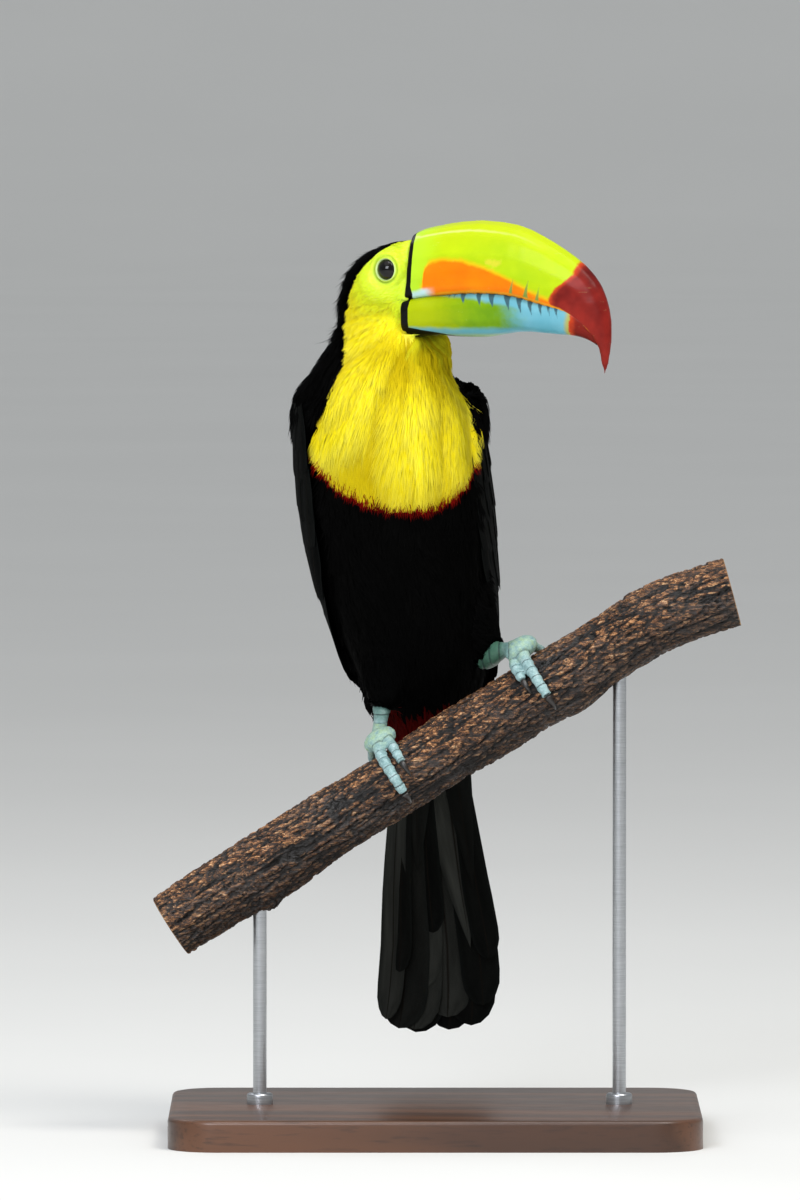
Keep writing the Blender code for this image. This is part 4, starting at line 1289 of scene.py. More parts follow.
# %% Rim, teeth and growth ridges
RIM_FLARE = {"horn_upper_bill": 0.035, "horn_lower_bill": 0.1}
FLARE_LENGTH = 14.0
RIM_CENTRE = -13.0  # the height that the flare leaves as it is
TOOTH_SPACING, TOOTH_DEPTH = 4.1, 0.55
TEETH_FROM, TEETH_TO = 22.0, 84.0
JAW_DEEPER, DEEP_FROM, DEEP_TO = 1.3, 38.0, 60.0  # the lower half is a little deeper near its base
TUCK_FROM, TUCK_TO, TUCKED_UP, TUCKED_FORWARD = 66.0, 90.0, 1.9, 4.0  # the lower tip closes under the hook
EDGE_CLOSED = 1.05  # mm that each edge moves, because smoothing draws the two apart


def carve_bill(piece, is_upper):
    head = to_head(points_of(piece))
    up = above_edge(head)
    along = head[:, 0].copy()
    near_base = 1 - smooth_step(0.0, FLARE_LENGTH, -bill_seat(head))
    flare = 1 + RIM_FLARE[piece.name] * near_base * (1 + 0.7 * smooth_step(18.0, 25.0, -head[:, 2]))
    back = np.interp(up, RIM_HEIGHTS, RIM_BACK)
    toothed = smooth_step(TEETH_FROM, TEETH_FROM + 14, along)
    toothed *= 1 - smooth_step(TEETH_TO, TEETH_TO + 6, along)
    saw = (along / TOOTH_SPACING) % 1
    saw = np.where(saw < 0.8, saw / 0.8, (1 - saw) / 0.2)
    near_edge = np.exp(-np.maximum(0, np.abs(up) - 0.3) / 0.7)
    head[:, 2] += np.exp(-np.abs(up) / 1.6) * (-EDGE_CLOSED if is_upper else EDGE_CLOSED)
    tucked = smooth_step(TUCK_FROM, TUCK_TO, along) * (not is_upper)
    if is_upper:
        head[:, 2] -= TOOTH_DEPTH * (saw - 0.35) * toothed * near_edge * (up < 3)
    side = np.sign(head[:, 1])
    waves = np.array([noise.noise(Vector((x * 0.03, z * 0.22, s * 3))) for (x, _, z), s in zip(head, side)])
    rim = smooth_step(0.0, 2.0, head[:, 0] - (5.0 + 4.3 * np.minimum(1.6, np.abs(head[:, 1]) / 15.6)))
    head[:, 1] += side * 0.22 * waves * rim
    head[:, 0] -= back * near_base**2
    head[:, 1] *= flare
    head[:, 2] = RIM_CENTRE + (head[:, 2] - RIM_CENTRE) * flare + TUCKED_UP * tucked
    head[:, 0] += TUCKED_FORWARD * tucked
    if not is_upper:
        head[:, 2] -= JAW_DEEPER * (1 - smooth_step(DEEP_FROM, DEEP_TO, along)) * smooth_step(3.0, 12.0, -up)
    move_points(piece, from_head(head))


carve_bill(upper_bill, True)
carve_bill(lower_bill, False)
print("teeth:", round((TEETH_TO - TEETH_FROM) / TOOTH_SPACING), "along each side")

# %% [markdown]
# ### The colour borders of the bill
# A keel-billed toucan's bill is lime green with an orange flame on the upper half, sky blue on the lower
# half, a maroon tip on both and a black line round the base. The dark wedges along the edge are stains in
# the grooves between its teeth. Every border is a function of the place along and up the bill.

# %% Measure the borders
FLAME_AT = (15.8, 17.0, 19.0, 24.0, 34.0, 45.6, 53.6, 61.0, 68.0, 77.0, 84.0)
FLAME_TOP = (-7.0, 1.0, 3.9, 5.3, 5.0, 2.0, -1.4, -5.0, -8.8, -12.6, -15.2)
TIP_UP = (-45.0, -20.0, -11.3, -9.1, -5.9, -3.7, -1.1, 5.6, 15.0)
TIP_FROM = (82.0, 77.5, 76.0, 77.2, 79.6, 83.2, 86.0, 87.5, 88.0)
LOWER_TIP_FROM = 84.0
# Wedges: (place along the bill, length down from the edge, half width), and those that point up.
WEDGES_DOWN = (
    (27.6, 3.0, 0.6), (30.2, 2.6, 0.6), (34.4, 5.2, 1.5), (42.0, 6.2, 1.6), (48.0, 6.8, 1.75), (55.4, 7.4, 1.85),
    (61.0, 7.2, 1.6), (66.0, 6.6, 1.4), (70.8, 5.8, 1.25), (74.8, 4.8, 1.0), (78.4, 3.8, 0.9),
)
WEDGES_UP = ((58.0, 7.0, 0.8), (64.8, 7.6, 1.15), (70.2, 7.0, 0.9))
WEDGE_LEAN = 0.25
KNOCK_AT = (49.5, 4.6)  # the middle of a worn place on the upper half
RIDGE_AT = np.arange(12.0, 96.0, 3.0)  # places along the bill where its top is measured
UNDER_AT, UNDER_UP = (5, 25, 60, 80), (-24.6, -25.2, -24.6, -27.0)  # the grey underside of the lower half


def wedge_stain(along, away, wedges):
    """Above 0 inside the narrow triangles that stand on the edge."""
    stain = np.full(len(along), -1.0)
    for place, length, half_width in wedges:
        inside = half_width * (1 - away / length) - np.abs(along - place - away * WEDGE_LEAN)
        stain = np.maximum(stain, np.where(away < length, inside, -1))
    return stain


def mark_bill(piece, is_upper):
    head = to_head(points_of(piece))
    along, up = head[:, 0], head[:, 2]
    away = np.abs(above_edge(head))
    paint(piece, "base", np.interp(above_edge(head), RIM_HEIGHTS, RIM_BACK) - bill_seat(head))
    paint(piece, "away", away)
    paint(piece, "along", along)
    flame = np.minimum(np.interp(along, FLAME_AT, FLAME_TOP) - up, (along - 16.0) * 1.5)
    paint(piece, "orange", np.minimum(flame, (86.0 - along) * 0.5))
    tip_from = np.interp(up, TIP_UP, TIP_FROM) if is_upper else LOWER_TIP_FROM + 0.18 * (up + 25)
    paint(piece, "red_tip", along - tip_from)
    paint(piece, "knocked", np.exp(-(((along - KNOCK_AT[0]) / 4.5) ** 2) - ((up - KNOCK_AT[1]) / 2.6) ** 2))
    wedges, edge_clear = (WEDGES_UP, 2.2) if is_upper else (WEDGES_DOWN, 0.3)
    paint(piece, "stain", wedge_stain(along, away - edge_clear, wedges))
    tops = [up[np.abs(along - place) < 1.5].max() for place in RIDGE_AT]
    paint(piece, "ridge", np.interp(along, RIDGE_AT, tops) - up)
    paint(piece, "under", np.interp(along, UNDER_AT, UNDER_UP) - up)


mark_bill(upper_bill, True)
mark_bill(lower_bill, False)
print("numbers kept on the bill:", [layer.name for layer in upper_bill.data.attributes])

# %% [markdown]
# ### Horn
# The sheath is keratin, IOR 1.5, but soft light slides over it in a weak, broad sheen that fine scratches and
# growth lines break up, so its specular level is low and its coat thin. Its colour is in the horn, with a
# soft cloudiness, pale scuffs where it has knocked on branches, and borders that bleed a little. A pale line
# a little under the top of the upper half is a painted highlight. The same function makes both halves: each
# is a list of layers, (where, colour), laid one over the other.

# %% Horn material
def horn_material(name, is_upper):
    constants = {"IOR": 1.5, "Coat Weight": 0.05, "Coat Roughness": 0.14, "Specular IOR Level": 0.1}
    material, add = new_material(name, constants)
    place = add("TexCoord", out=3)
    base, away, along, flame, red_tip, stain, under, knocked, ridge = (
        add("Attribute", attribute_name=mark, out=FAC)
        for mark in ("base", "away", "along", "orange", "red_tip", "stain", "under", "knocked", "ridge"))
    cloud = add("TexNoise", {"Vector": place, "Scale": per_mm(14.0), "Detail": 3.0})
    fray = add("TexNoise", {"Vector": place, "Scale": per_mm(3.0), "Detail": 3.0})
    shift = add("Math", {0: fray, 1: 0.5}, operation="SUBTRACT")

    def border(value, low, high, waver):
        """0 before low and 1 past high, with an uneven line."""
        moved = add("Math", {0: shift, 1: waver, 2: value}, operation="MULTIPLY_ADD")
        return add("MapRange", {"Value": moved, "From Min": low, "From Max": high},
                   interpolation_type="SMOOTHSTEP")

    if is_upper:
        colour = add("ValToRGB", {"Fac": cloud}, stops=((0.3, "#a6c80a"), (0.7, "#bcd40e")))
        orange = add("ValToRGB", {"Fac": cloud}, stops=((0.35, "#f07400"), (0.75, "#f48800")))
        # crease is a painted highlight: a pale line 4.3 mm under the top of the bill, fading towards the tip.
        off_highlight_line = add("Math", {0: ridge, 1: 4.3}, operation="SUBTRACT")
        off_highlight_line = add("Math", {0: off_highlight_line}, operation="ABSOLUTE")
        highlight_fading = add("MapRange", {"Value": along, "From Min": 72.0, "From Max": 36.0, "To Max": 0.42})
        worn, crease, pale, rim = (
            add("Math", {0: one, 1: other}, operation="MULTIPLY") for one, other in (
                (border(knocked, 0.35, 0.95, 1.6), 0.6),
                (border(off_highlight_line, 0.75, 0.1, 0.8), highlight_fading),
                (border(along, 23.0, 15.5, 3.0), border(away, 4.4, 2.0, 1.0)),
                (border(away, 1.6, 0.7, 0.5), border(along, 17.0, 24.0, 2.0))))
        rim = add("Math", {0: rim, 1: border(along, 94.0, 91.0, 1.0)}, operation="MULTIPLY")
        layers = [
            (border(away, 17.0, 31.0, 4.0), "#bcce10"), (border(along, 26.0, 8.0, 4.0), "#b2dc2c"),
            (crease, "#e9f4a0"), (worn, "#e0cc40"), (border(flame, -2.4, 0.6, 1.8), "#e8b60e"),
            (border(flame, -0.6, 1.3, 1.6), orange), (pale, "#c3e6ee")]
        stain_colour, tip_colours, fire_from = "#7d9440", ("#500909", "#98281f"), -1.1
        line_width, gape_wider = 2.3, -2.2
    else:
        colour = add("ValToRGB", {"Fac": cloud}, stops=((0.3, "#54a0b4"), (0.7, "#72b2c2")))
        blue_from = add("MapRange", {"Value": along, "From Min": 14.0, "From Max": 52.0,
                                                     "To Min": -2.4, "To Max": 3.4})
        depth = add("Math", {0: away, 1: blue_from}, operation="SUBTRACT")
        green = border(depth, 0.0, 2.2, 1.5)
        for other in (border(along, 66.0, 50.0, 8.0), border(under, 1.0, -1.4, 1.2)):
            green = add("Math", {0: green, 1: other}, operation="MULTIPLY")
        lime = add("ValToRGB", {"Fac": cloud}, stops=((0.3, "#5c9010"), (0.7, "#80a80a")))
        lime = add(links={0: border(along, 44.0, 14.0, 10.0), A: lime, B: "#a8b800"}, **COLOUR_MIX)
        layers = [
            (green, lime), (border(under, 1.6, 3.2, 0.6), "#93b48a"),
            (border(red_tip, -3.2, -0.6, 1.6), "#a9a85a")]
        stain_colour, tip_colours, fire_from = "#3a5f6a", ("#3c0705", "#7c1c12"), -0.5
        line_width, gape_wider = 3.5, -0.3
    blood = add("ValToRGB", {"Fac": cloud}, stops=tuple(zip((0.3, 0.72), tip_colours)))
    layers += [
        (border(stain, -0.15, 0.5, 0.6), stain_colour), (border(red_tip, fire_from, 0.4, 2.4), "#c2411c"),
        (border(red_tip, -0.4, 3.4, 3.0), blood)]
    layers += [(rim, "#f29a1e")] if is_upper else []
    grain = add("Mapping", {"Vector": place, "Rotation": (0, 0, math.radians(28)),
                                            "Scale": (0.25, 1.0, 1.6)})
    scratch = add("TexNoise", {"Vector": grain, "Scale": per_mm(2.4), "Detail": 5.0,
                                               "Roughness": 0.65})
    scuffed = add("MapRange", {"Value": scratch, "From Min": 0.66, "From Max": 0.8, "To Max": 0.45})
    gape = border(away, 7.0, 0.0, 0.5)
    wide = add("Math", {0: gape, 1: gape_wider, 2: base}, operation="MULTIPLY_ADD")
    rim_line = border(wide, line_width + 0.15, line_width - 0.15, 0.3)
    if not is_upper:
        jaw = add("MapRange", {"Value": along, "From Min": 4.0, "From Max": 31.0,
                                               "To Min": -0.9, "To Max": 3.7})
        jaw = add("Math", {0: under, 1: jaw}, operation="SUBTRACT")
        rim_line = add("Math", {0: rim_line, 1: border(jaw, -0.2, 0.25, 0.3)}, operation="MAXIMUM")
    for share, over in (*layers, (scuffed, "#d9cf96"), (rim_line, "#070708")):
        colour = add(links={0: share, A: colour, B: over}, **COLOUR_MIX)
    rough = add("MapRange", {"Value": scratch, "From Min": 0.3, "From Max": 0.8,
                                             "To Min": 0.3, "To Max": 0.5})
    raised = add("Bump", {"Height": scratch, "Strength": 0.25, "Distance": 0.08 * MM})
    return finished(material, Base_Color=colour, Roughness=rough, Normal=raised)


for piece, node, slot in ((upper_bill, "upper_bill", "bill_upper"), (lower_bill, "lower_bill", "bill_lower")):
    shade_round(piece)
    finish_piece(piece, horn_material(f"polished_horn_{node}", node == "upper_bill"), slot, node)

# %% [markdown]
# ## The eyes
# Each eye is a sphere with a slight bulge where the clear cornea is. Iris and pupil are painted by distance
# from the eye's own axis. This toucan's iris is so dark a brown that only a soft edge shows. A second, clear
# sphere over a painted one would show no more than this, because nothing behind it can be made out.

# %% Eyes
PUPIL, IRIS = 2.5, 4.5
CORNEA_BULGE, CORNEA_RADIUS = 0.35, 3.0


def eye_material():
    constants = {"IOR": 1.42, "Roughness": 0.03, "Specular IOR Level": 0.5}
    material, add = new_material("wet_cornea_over_dark_iris", constants)
    place = add("TexCoord", out=3)
    axis = add("Attribute", attribute_name="axis", out=FAC)
    fibres = add("TexNoise", {"Vector": place, "Scale": per_mm(0.6), "Detail": 2.0})
    iris = add("ValToRGB", {"Fac": fibres}, stops=((0.3, "#050302"), (0.75, "#100a07")))
    in_iris = add("MapRange", {"Value": axis, "From Min": PUPIL - 0.2, "From Max": PUPIL + 0.25})
    colour = add(links={0: in_iris, A: "#010101", B: iris}, **COLOUR_MIX)
    past_iris = add("MapRange", {"Value": axis, "From Min": IRIS - 0.35, "From Max": IRIS + 0.2})
    colour = add(links={0: past_iris, A: colour, B: "#0a0705"}, **COLOUR_MIX)
    return finished(material, Base_Color=colour)


def make_eye(side, sign):
    centre = Vector(from_head((EYE_FORWARD, sign * EYE_OUT, EYE_UP))) * MM
    bpy.ops.mesh.primitive_uv_sphere_add(segments=64, ring_count=40, radius=EYE_RADIUS * MM, location=centre)
    eye = bpy.context.object
    eye.name = f"eyeball_{side}"
    bpy.ops.object.transform_apply()
    head = to_head(points_of(eye))
    bulge = CORNEA_BULGE * np.exp(-((from_eye(head) / CORNEA_RADIUS) ** 2))
    head[:, 1] += sign * bulge * (sign * head[:, 1] > EYE_OUT)
    move_points(eye, from_head(head))
    paint(eye, "axis", from_eye(head))
    shade_round(eye)
    return eye


eye_wet = eye_material()
for side, sign in (("left", 1), ("right", -1)):
    finish_piece(make_eye(side, sign), eye_wet, "eye", f"eye_{side}")

# %% [markdown]
# ## The claws
# The claws are smooth curved horn, dark brown with paler growth streaks. Each is a copy of its solid, made
# round by two levels of subdivision, because eight short cones need no remeshing.

# %% Claws
material, add = new_material("claw_horn", {"IOR": 1.55, "Coat Weight": 0.2, "Coat Roughness": 0.2})
place = add("TexCoord", out=3)
grain = add("Mapping", {"Vector": place, "Scale": (1.0, 1.0, 0.25)})
growth = add("TexNoise", {"Vector": grain, "Scale": per_mm(0.8), "Detail": 3.0})
colour = add("ValToRGB", {"Fac": growth},
             stops=((0.3, "#0d0a09"), (0.6, "#1f1916"), (0.85, "#41372f")))
rough = add("MapRange", {"Value": growth, "To Min": 0.25, "To Max": 0.5})
claw_horn = finished(material, Base_Color=colour, Roughness=rough)

for side in ("left", "right"):
    for toe in ("long", "short", "outer", "inner"):
        node = f"claw_{side}_{toe}"
        claw = merged_copy(f"horn_{node}", node)
        modified(claw, "SUBSURF", levels=2, render_levels=2)
        shade_round(claw)
        finish_piece(claw, claw_horn, "claw_horn", node)

# %% [markdown]
# ## Wings and tail
# Flight feathers are too long and too orderly to be traced over the skin. Each is laid out on the folded
# wing's own surface: a height down the wing and a share of the way from its front edge to its back edge.
# Rows of coverts overlap like tiles, each row lying over the roots of the next. Tail feathers do the same
# on the tail's surface, with the middle pair on top.

# %% The folded wing's surface
# (height, x, y, half width, half depth, first and last degree round the body from its side)
WING_STATIONS = np.array((
    (341, -22.7, -7.0, 31.5, 30.5, 4, 30), (336, -22.4, -6.5, 35.8, 33.0, -6, 34),
    (329, -21.9, -5.8, 41.6, 36.5, -24, 50),
    (318, -20.9, -3.5, 43.4, 39.0, -30, 58), (300, -19.1, 1.0, 44.4, 41.3, -33, 66),
    (280, -17.2, 7.0, 44.7, 42.5, -33, 72), (259, -14.7, 14.5, 43.8, 41.5, -30, 77),
    (238, -11.4, 22.8, 41.8, 38.8, -20, 80), (216, -8.0, 32.2, 37.8, 33.5, -4, 82),
    (196, -5.2, 40.6, 33.0, 26.0, 8, 83), (182, -4.0, 46.5, 28.0, 18.5, 16, 82),
    (170, -3.5, 51.0, 22.5, 13.5, 32, 80), (160, -3.5, 55.0, 18.0, 10.5, 50, 74),
))[::-1]
RAISED_SHOULDER, SHOULDER_FROM, SHOULDER_TOP = 5.0, 310.0, 336.0  # the left one stands out, between heights
WING_LEAN = 0.36  # how far the body's middle line goes back for each millimetre down


def wing_surface(sign, height, share, sink):
    """(points, outward directions) on a folded wing, sink millimetres under its outer surface."""
    x, y, half_width, half_depth, first, last = (
        np.interp(height, WING_STATIONS[:, 0], WING_STATIONS[:, k]) for k in range(1, 7))
    risen = np.clip((height - SHOULDER_FROM) / (SHOULDER_TOP - SHOULDER_FROM), 0, 1)
    half_width = half_width + RAISED_SHOULDER * risen * (sign > 0)
    angle = np.radians((first + last) / 2 + share * (last - first) / 2)
    side, back = np.cos(angle), np.sin(angle)
    lean = unit(np.array((0.0, 1.0, WING_LEAN)))
    middle = np.stack((x, y, height), -1)
    out = sign * BODY_LEFT * side[..., None] * (half_width - sink)[..., None]
    out = out + lean * back[..., None] * (half_depth - sink)[..., None]
    facing = unit(sign * BODY_LEFT * (side / half_width)[..., None] + lean * (back / half_depth)[..., None])
    return middle + out, facing


# %% Wing feathers
VANE_STEPS = 13


def along_vane():
    """Shares of a vane's length, closer together towards its rounded tip."""
    return 1 - (1 - np.linspace(0, 1, VANE_STEPS + 1)) ** 1.9


def vane_shape(widest, tip_length):
    """Share of the half width along a vane that grows to its widest place and ends in an ellipse."""
    t = along_vane()
    growing = 0.34 + 0.66 * np.clip(t / widest, 0, 1) ** 0.8
    rounding = np.sqrt(np.clip(1 - (np.maximum(0, t - 1 + tip_length) / tip_length) ** 2, 0, 1))
    return growing * rounding


# (name, count, height of first and last root, of first and last tip, span of shares, half width, sink)
WING_ROWS = (
    ("primary", 7, (236, 232), (166, 158), (0.30, 0.95), 5.2, 1.9),
    ("secondary", 9, (262, 250), (202, 176), (-0.86, 0.62), 7.4, 1.5),
    ("tertial", 4, (286, 280), (214, 190), (0.25, 0.92), 8.4, 1.0),
    ("greater", 14, (286, 282), (242, 234), (-0.90, 0.92), 5.4, 0.8),
    ("median", 17, (298, 296), (266, 262), (-0.92, 0.92), 4.2, 0.6),
    ("upper median", 18, (309, 308), (281, 279), (-0.92, 0.92), 3.7, 0.4),
    ("lesser", 19, (320, 320), (297, 296), (-0.92, 0.92), 3.3, 0.2),
    ("marginal", 18, (328, 328), (311, 310), (-0.92, 0.92), 3.0, 0.3),
)


def make_wing_feathers(side, sign):
    tracks, facings, widths = [], [], []
    t = along_vane()
    for _, count, roots, tips, span, half_width, sink in WING_ROWS:
        for k, place in enumerate(np.linspace(0, 1, count)):
            share = span[0] + (span[1] - span[0]) * place
            root = roots[0] + (roots[1] - roots[0]) * place + random.normal(0, 1.2)
            tip = tips[0] + (tips[1] - tips[0]) * place + random.normal(0, 1.5)
            drift = 0.03 * random.normal() - 0.04 * share
            depth = sink + 0.25 * (k % 2)  # every other one lies a little deeper
            track, facing = wing_surface(sign, root + (tip - root) * t, share + drift * t**1.2, depth)
            tracks.append(track)
            facings.append(facing)
            widths.append(half_width * random.uniform(0.92, 1.08))
    tracks, facings, widths = np.array(tracks), np.array(facings), np.array(widths)
    rise = np.tile(-0.5 + 0.75 * t, (len(widths), 1))
    charted = np.array([place_on_chart(track[0]) for track in tracks])
    # shade is how much grey painted sheen each vane shows, at random.
    numbers = {"shade": random.uniform(0, 0.25, len(widths)) ** 1.3}
    return build_blades(f"vanes_wing_{side}", tracks, facings, widths, rise, "quill", vane_shape(0.5, 0.14),
                        numbers, charted)


wing_feathers = [make_wing_feathers(side, sign) for side, sign in (("left", 1), ("right", -1))]

# %% Tail feathers
TAIL_LINE = np.array((
    (38, -0.6, 100.8), (46, 0.6, 98.2), (58, 1.0, 94.0), (78, 0.8, 87.0), (107, -1.5, 76.5),
    (134, -2.6, 67.0), (155, -3.2, 59.5), (178, -3.6, 52.0), (196, -4.6, 44.0),
))
# Each feather: (mm aside at the root and at the tip, height of the tip, half width, mm in front, shade, which is
# how much painted sheen it shows).
TAIL_FEATHERS = (
    (-4, -8, 37.5, 12.0, 0.0, 0.15), (4, 7, 38.5, 12.0, 0.3, 0.1), (-7, -16, 39.5, 11.0, 0.7, 0.3),
    (7, 17, 40.5, 11.5, 0.9, 0.1), (9, 21.5, 50, 9.0, 1.5, 0.12), (-9, -22.5, 44, 6.0, 1.5, 0.8),
    (-3, -9, 39.0, 10.5, 1.9, 0.85), (3, 5.5, 44.5, 11.5, 2.3, 0.75), (2, -7.0, 58, 8.5, 2.8, 1.0),
    (10, 24, 72, 6.5, 3.4, 0.1), (-3, -1, 84, 6.0, 3.3, 0.1), (-7, -17, 66, 5.0, 3.2, 0.15),
)
# Narrower ones that end in a point lie over them.
TAIL_COVERTS = ((5, 15.5, 77, 12.0, 3.9, 1.0), (-4, -6, 112, 8.0, 3.6, 0.25), (9, 19, 104, 7.0, 4.2, 0.15))


def tail_track(aside_root, aside_tip, tip, forward):
    """The middle line of one tail feather, and the way it faces."""
    t = along_vane()
    height = 190.0 + (tip - 190.0) * t
    x, y = (np.interp(height, TAIL_LINE[:, 0], TAIL_LINE[:, k]) for k in (1, 2))
    aside = aside_root + (aside_tip - aside_root) * t**0.9
    track = np.stack((x, y, height), -1) + BODY_LEFT * aside[:, None]
    track[:, 1] += 1.2 - 0.0035 * aside**2 - forward * t
    facing = unit(np.tile((0.0, -1.0, -0.35), (VANE_STEPS + 1, 1)) + BODY_LEFT * 0.012 * aside_tip)
    return track, facing


def make_tail_feathers(name, feathers, shape):
    laid = [tail_track(*feather[:3], feather[4]) for feather in feathers]
    tracks, facings = np.array([track for track, _ in laid]), np.array([facing for _, facing in laid])
    charted = np.array([place_on_chart(track[0]) for track in tracks])
    _, _, _, widths, _, shades = np.array(feathers).T
    return build_blades(name, tracks, facings, widths, np.zeros(tracks.shape[:2]), "quill", shape,
                        {"shade": shades}, charted)


tail_feathers = make_tail_feathers("vanes_tail", TAIL_FEATHERS, vane_shape(0.75, 0.1))
tail_coverts = make_tail_feathers("vanes_tail_coverts", TAIL_COVERTS, vane_shape(0.12, 0.88) ** 2)

# %% [markdown]
# Each part of the coat gets its finish. The flat chart has done its work, so it goes, and no spare mesh is
# left in the scene.

# %% Finish the coat
coats = (
    (yellow_coats, yellow_silk, "feathers_yellow"), (black_coats, black_soft, "feathers_black"),
    ([rim_coat], red_soft, "feathers_black"), ([undertail_coat], shaded_undertail_red, "feathers_black"),
    (wing_feathers, black_vane, "feathers_black"))
for pieces, material, slot in coats:
    for piece in pieces:
        finish_piece(piece, material, slot)
finish_piece(tail_feathers, black_vane, "feathers_black", "tail")
finish_piece(tail_coverts, black_vane, "feathers_black")
bpy.data.objects.remove(chart)

# %% [markdown]
# ## The perch
# The branch keeps its rough bark: long plates with deep dark cracks between them, wet here and there. The
# solid is remeshed finely, and its surface is pressed in by noise that is stretched along the branch. The
# bark is only ever carved inwards, so the toes still touch it.

# %% Bark
BARK_GRID = 0.72
PLATE_LENGTH, PLATE_WIDTH = 13.0, 2.1
BARK_DEPTH = 2.0
BRANCH_FROM, BRANCH_TO = -118.0, 132.0

bark = smoothed(remeshed_copy("bark_perch", BARK_GRID, "perch"), 6)
points, normals = points_of(bark), normals_of(bark)
middles, ups = zip(*(branch_at(x) for x in points[:, 0]))
middles, ups = np.array(middles), np.array(ups)
alongs = np.stack((ups[:, 2], 0 * ups[:, 0], -ups[:, 0]), -1)
out = points - middles
out -= alongs * np.sum(out * alongs, axis=1, keepdims=True)
turn = np.arctan2(-out[:, 1], np.sum(out * ups, axis=1))
distance = points[:, 0] / math.cos(BRANCH_SLOPE)
radius = np.linalg.norm(out, axis=1)


def bark_height(s, angle):
    """0 on top of a ridge, towards -1 in a crevice."""
    ring = Vector((math.cos(angle), math.sin(angle), 0)) * BRANCH_RADIUS
    wander = noise.noise(Vector((s / 23, angle * 1.3, 4.0))) * 1.6
    across = ring / PLATE_WIDTH
    coarse = noise.noise(Vector((s / PLATE_LENGTH + wander, across.x, across.y)))
    long_crack = noise.noise(Vector((s / 52 + 3, ring.x / 4.4 + wander * 0.3, ring.y / 4.4)))
    grain = noise.noise(Vector((s / 4.2, ring.x / 1.25 + 9, ring.y / 1.25)))
    crumbs = noise.noise(Vector((s / 1.9, ring.x / 1.5, ring.y / 1.5 + 5)))
    crevice = max(0.0, 1 - abs(coarse) * 4.0) ** 1.5 * 0.55 + max(0.0, 1 - abs(long_crack) * 7.0) ** 2 * 0.75
    return -crevice - 0.65 * max(0.0, grain) - 0.75 * max(0.0, crumbs)


height = np.array([bark_height(s, angle) for s, angle in zip(distance, turn)])
facing_end = np.abs(np.sum(normals * alongs, axis=1))
near_end = (points[:, 0] < BRANCH_FROM + 14) | (points[:, 0] > BRANCH_TO - 14)
on_end = smooth_step(0.6, 0.9, facing_end) * near_end
move_points(bark, points + unit(out) * (height * BARK_DEPTH * (1 - on_end))[:, None])
for mark, values in (("height", height), ("end", on_end), ("ring", radius), ("turn", turn)):
    paint(bark, mark, values)
print("bark vertices:", len(points), "deepest crevice:", round(float(-height.min()) * BARK_DEPTH, 1), "mm")


# %% [markdown]
# The bark's tone follows its fibres in streaks from near black to pale tan, greyed in patches by weather,
# with painted shade in the crevices and on the underside. The cut ends show the year rings in pale wood.

# %% Bark material
def bark_material():
    material, add = new_material("wet_rough_bark", {"Specular IOR Level": 0.55})
    place = add("TexCoord", out=3)
    height, end, radius, turned = (
        add("Attribute", attribute_name=mark, out=FAC) for mark in ("height", "end", "ring", "turn"))
    grain = add("Mapping", {
        "Vector": place, "Rotation": (0, BRANCH_SLOPE, 0), "Scale": (0.2, 1, 1)})
    tone = add("TexNoise", {
        "Vector": grain, "Scale": per_mm(1.4), "Detail": 6.0, "Roughness": 0.85})
    colour = add("ValToRGB", {"Fac": tone},
                 stops=((0.43, "#0c0705"), (0.5, "#4e2f1b"), (0.56, "#b4763f"), (0.63, "#f6cfa0")))
    patches = add("TexNoise", {"Vector": grain, "Scale": per_mm(13.0), "Detail": 3.0})
    greyed = add("MapRange", {"Value": patches, "From Min": 0.48, "From Max": 0.62, "To Max": 0.3})
    # The crevices are darkened with painted shade.
    depth = add("MapRange", {"Value": height, "From Min": -0.1, "From Max": -0.55})
    # The underside, which faces down, gets painted shade too.
    top = add("Math", {0: turned}, operation="COSINE")
    underside_shade = add("MapRange", {"Value": top, "From Min": 0.35, "From Max": -0.55, "To Max": 0.72})
    rings = add("Math", {0: radius, 1: 1 / 1.6}, operation="MULTIPLY")
    wobble = add("TexNoise", {"Vector": place, "Scale": per_mm(8.0)})
    rings = add("Math", {0: wobble, 1: 2.0, 2: rings}, operation="MULTIPLY_ADD")
    rings = add("Math", {0: rings, 1: 1.0}, operation="PINGPONG")
    wood = add("ValToRGB", {"Fac": rings}, stops=((0.1, "#8a5f3a"), (0.5, "#c49a68")))
    for share, over in ((greyed, "#4c4038"), (depth, "#0a0604"), (underside_shade, "#120c08"), (end, wood)):
        colour = add(links={0: share, A: colour, B: over}, **COLOUR_MIX)
    fine = add("TexNoise", {"Vector": grain, "Scale": per_mm(1.2), "Detail": 5.0})
    raised = add("Bump", {"Height": fine, "Strength": 1.0, "Distance": 1.4 * MM})
    wet = add("MapRange", {"Value": patches, "From Min": 0.4, "From Max": 0.65,
                                           "To Min": 0.7, "To Max": 0.35})
    return finished(material, Base_Color=colour, Roughness=wet, Normal=raised)


shade_round(bark)
finish_piece(bark, bark_material(), "bark", "perch")

# %% [markdown]
# ## The display stand
# A museum stand is plain: a slab of stained walnut with rounded corners and a small rounded edge, and two
# steel rods, each in a turned collar. The slab is a cube whose upright edges are bevelled wide and then its
# top edge small. A rod is a cylinder with a bevelled collar that is one mesh with it.

# %% Slab
low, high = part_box("stand_base")
size = high - low
CORNER, TOP_EDGE = 0.022, 0.002

bpy.ops.mesh.primitive_cube_add(size=1.0, location=(low + high) / 2, scale=size)
slab = bpy.context.object
slab.name = "walnut_base"
bpy.ops.object.transform_apply()


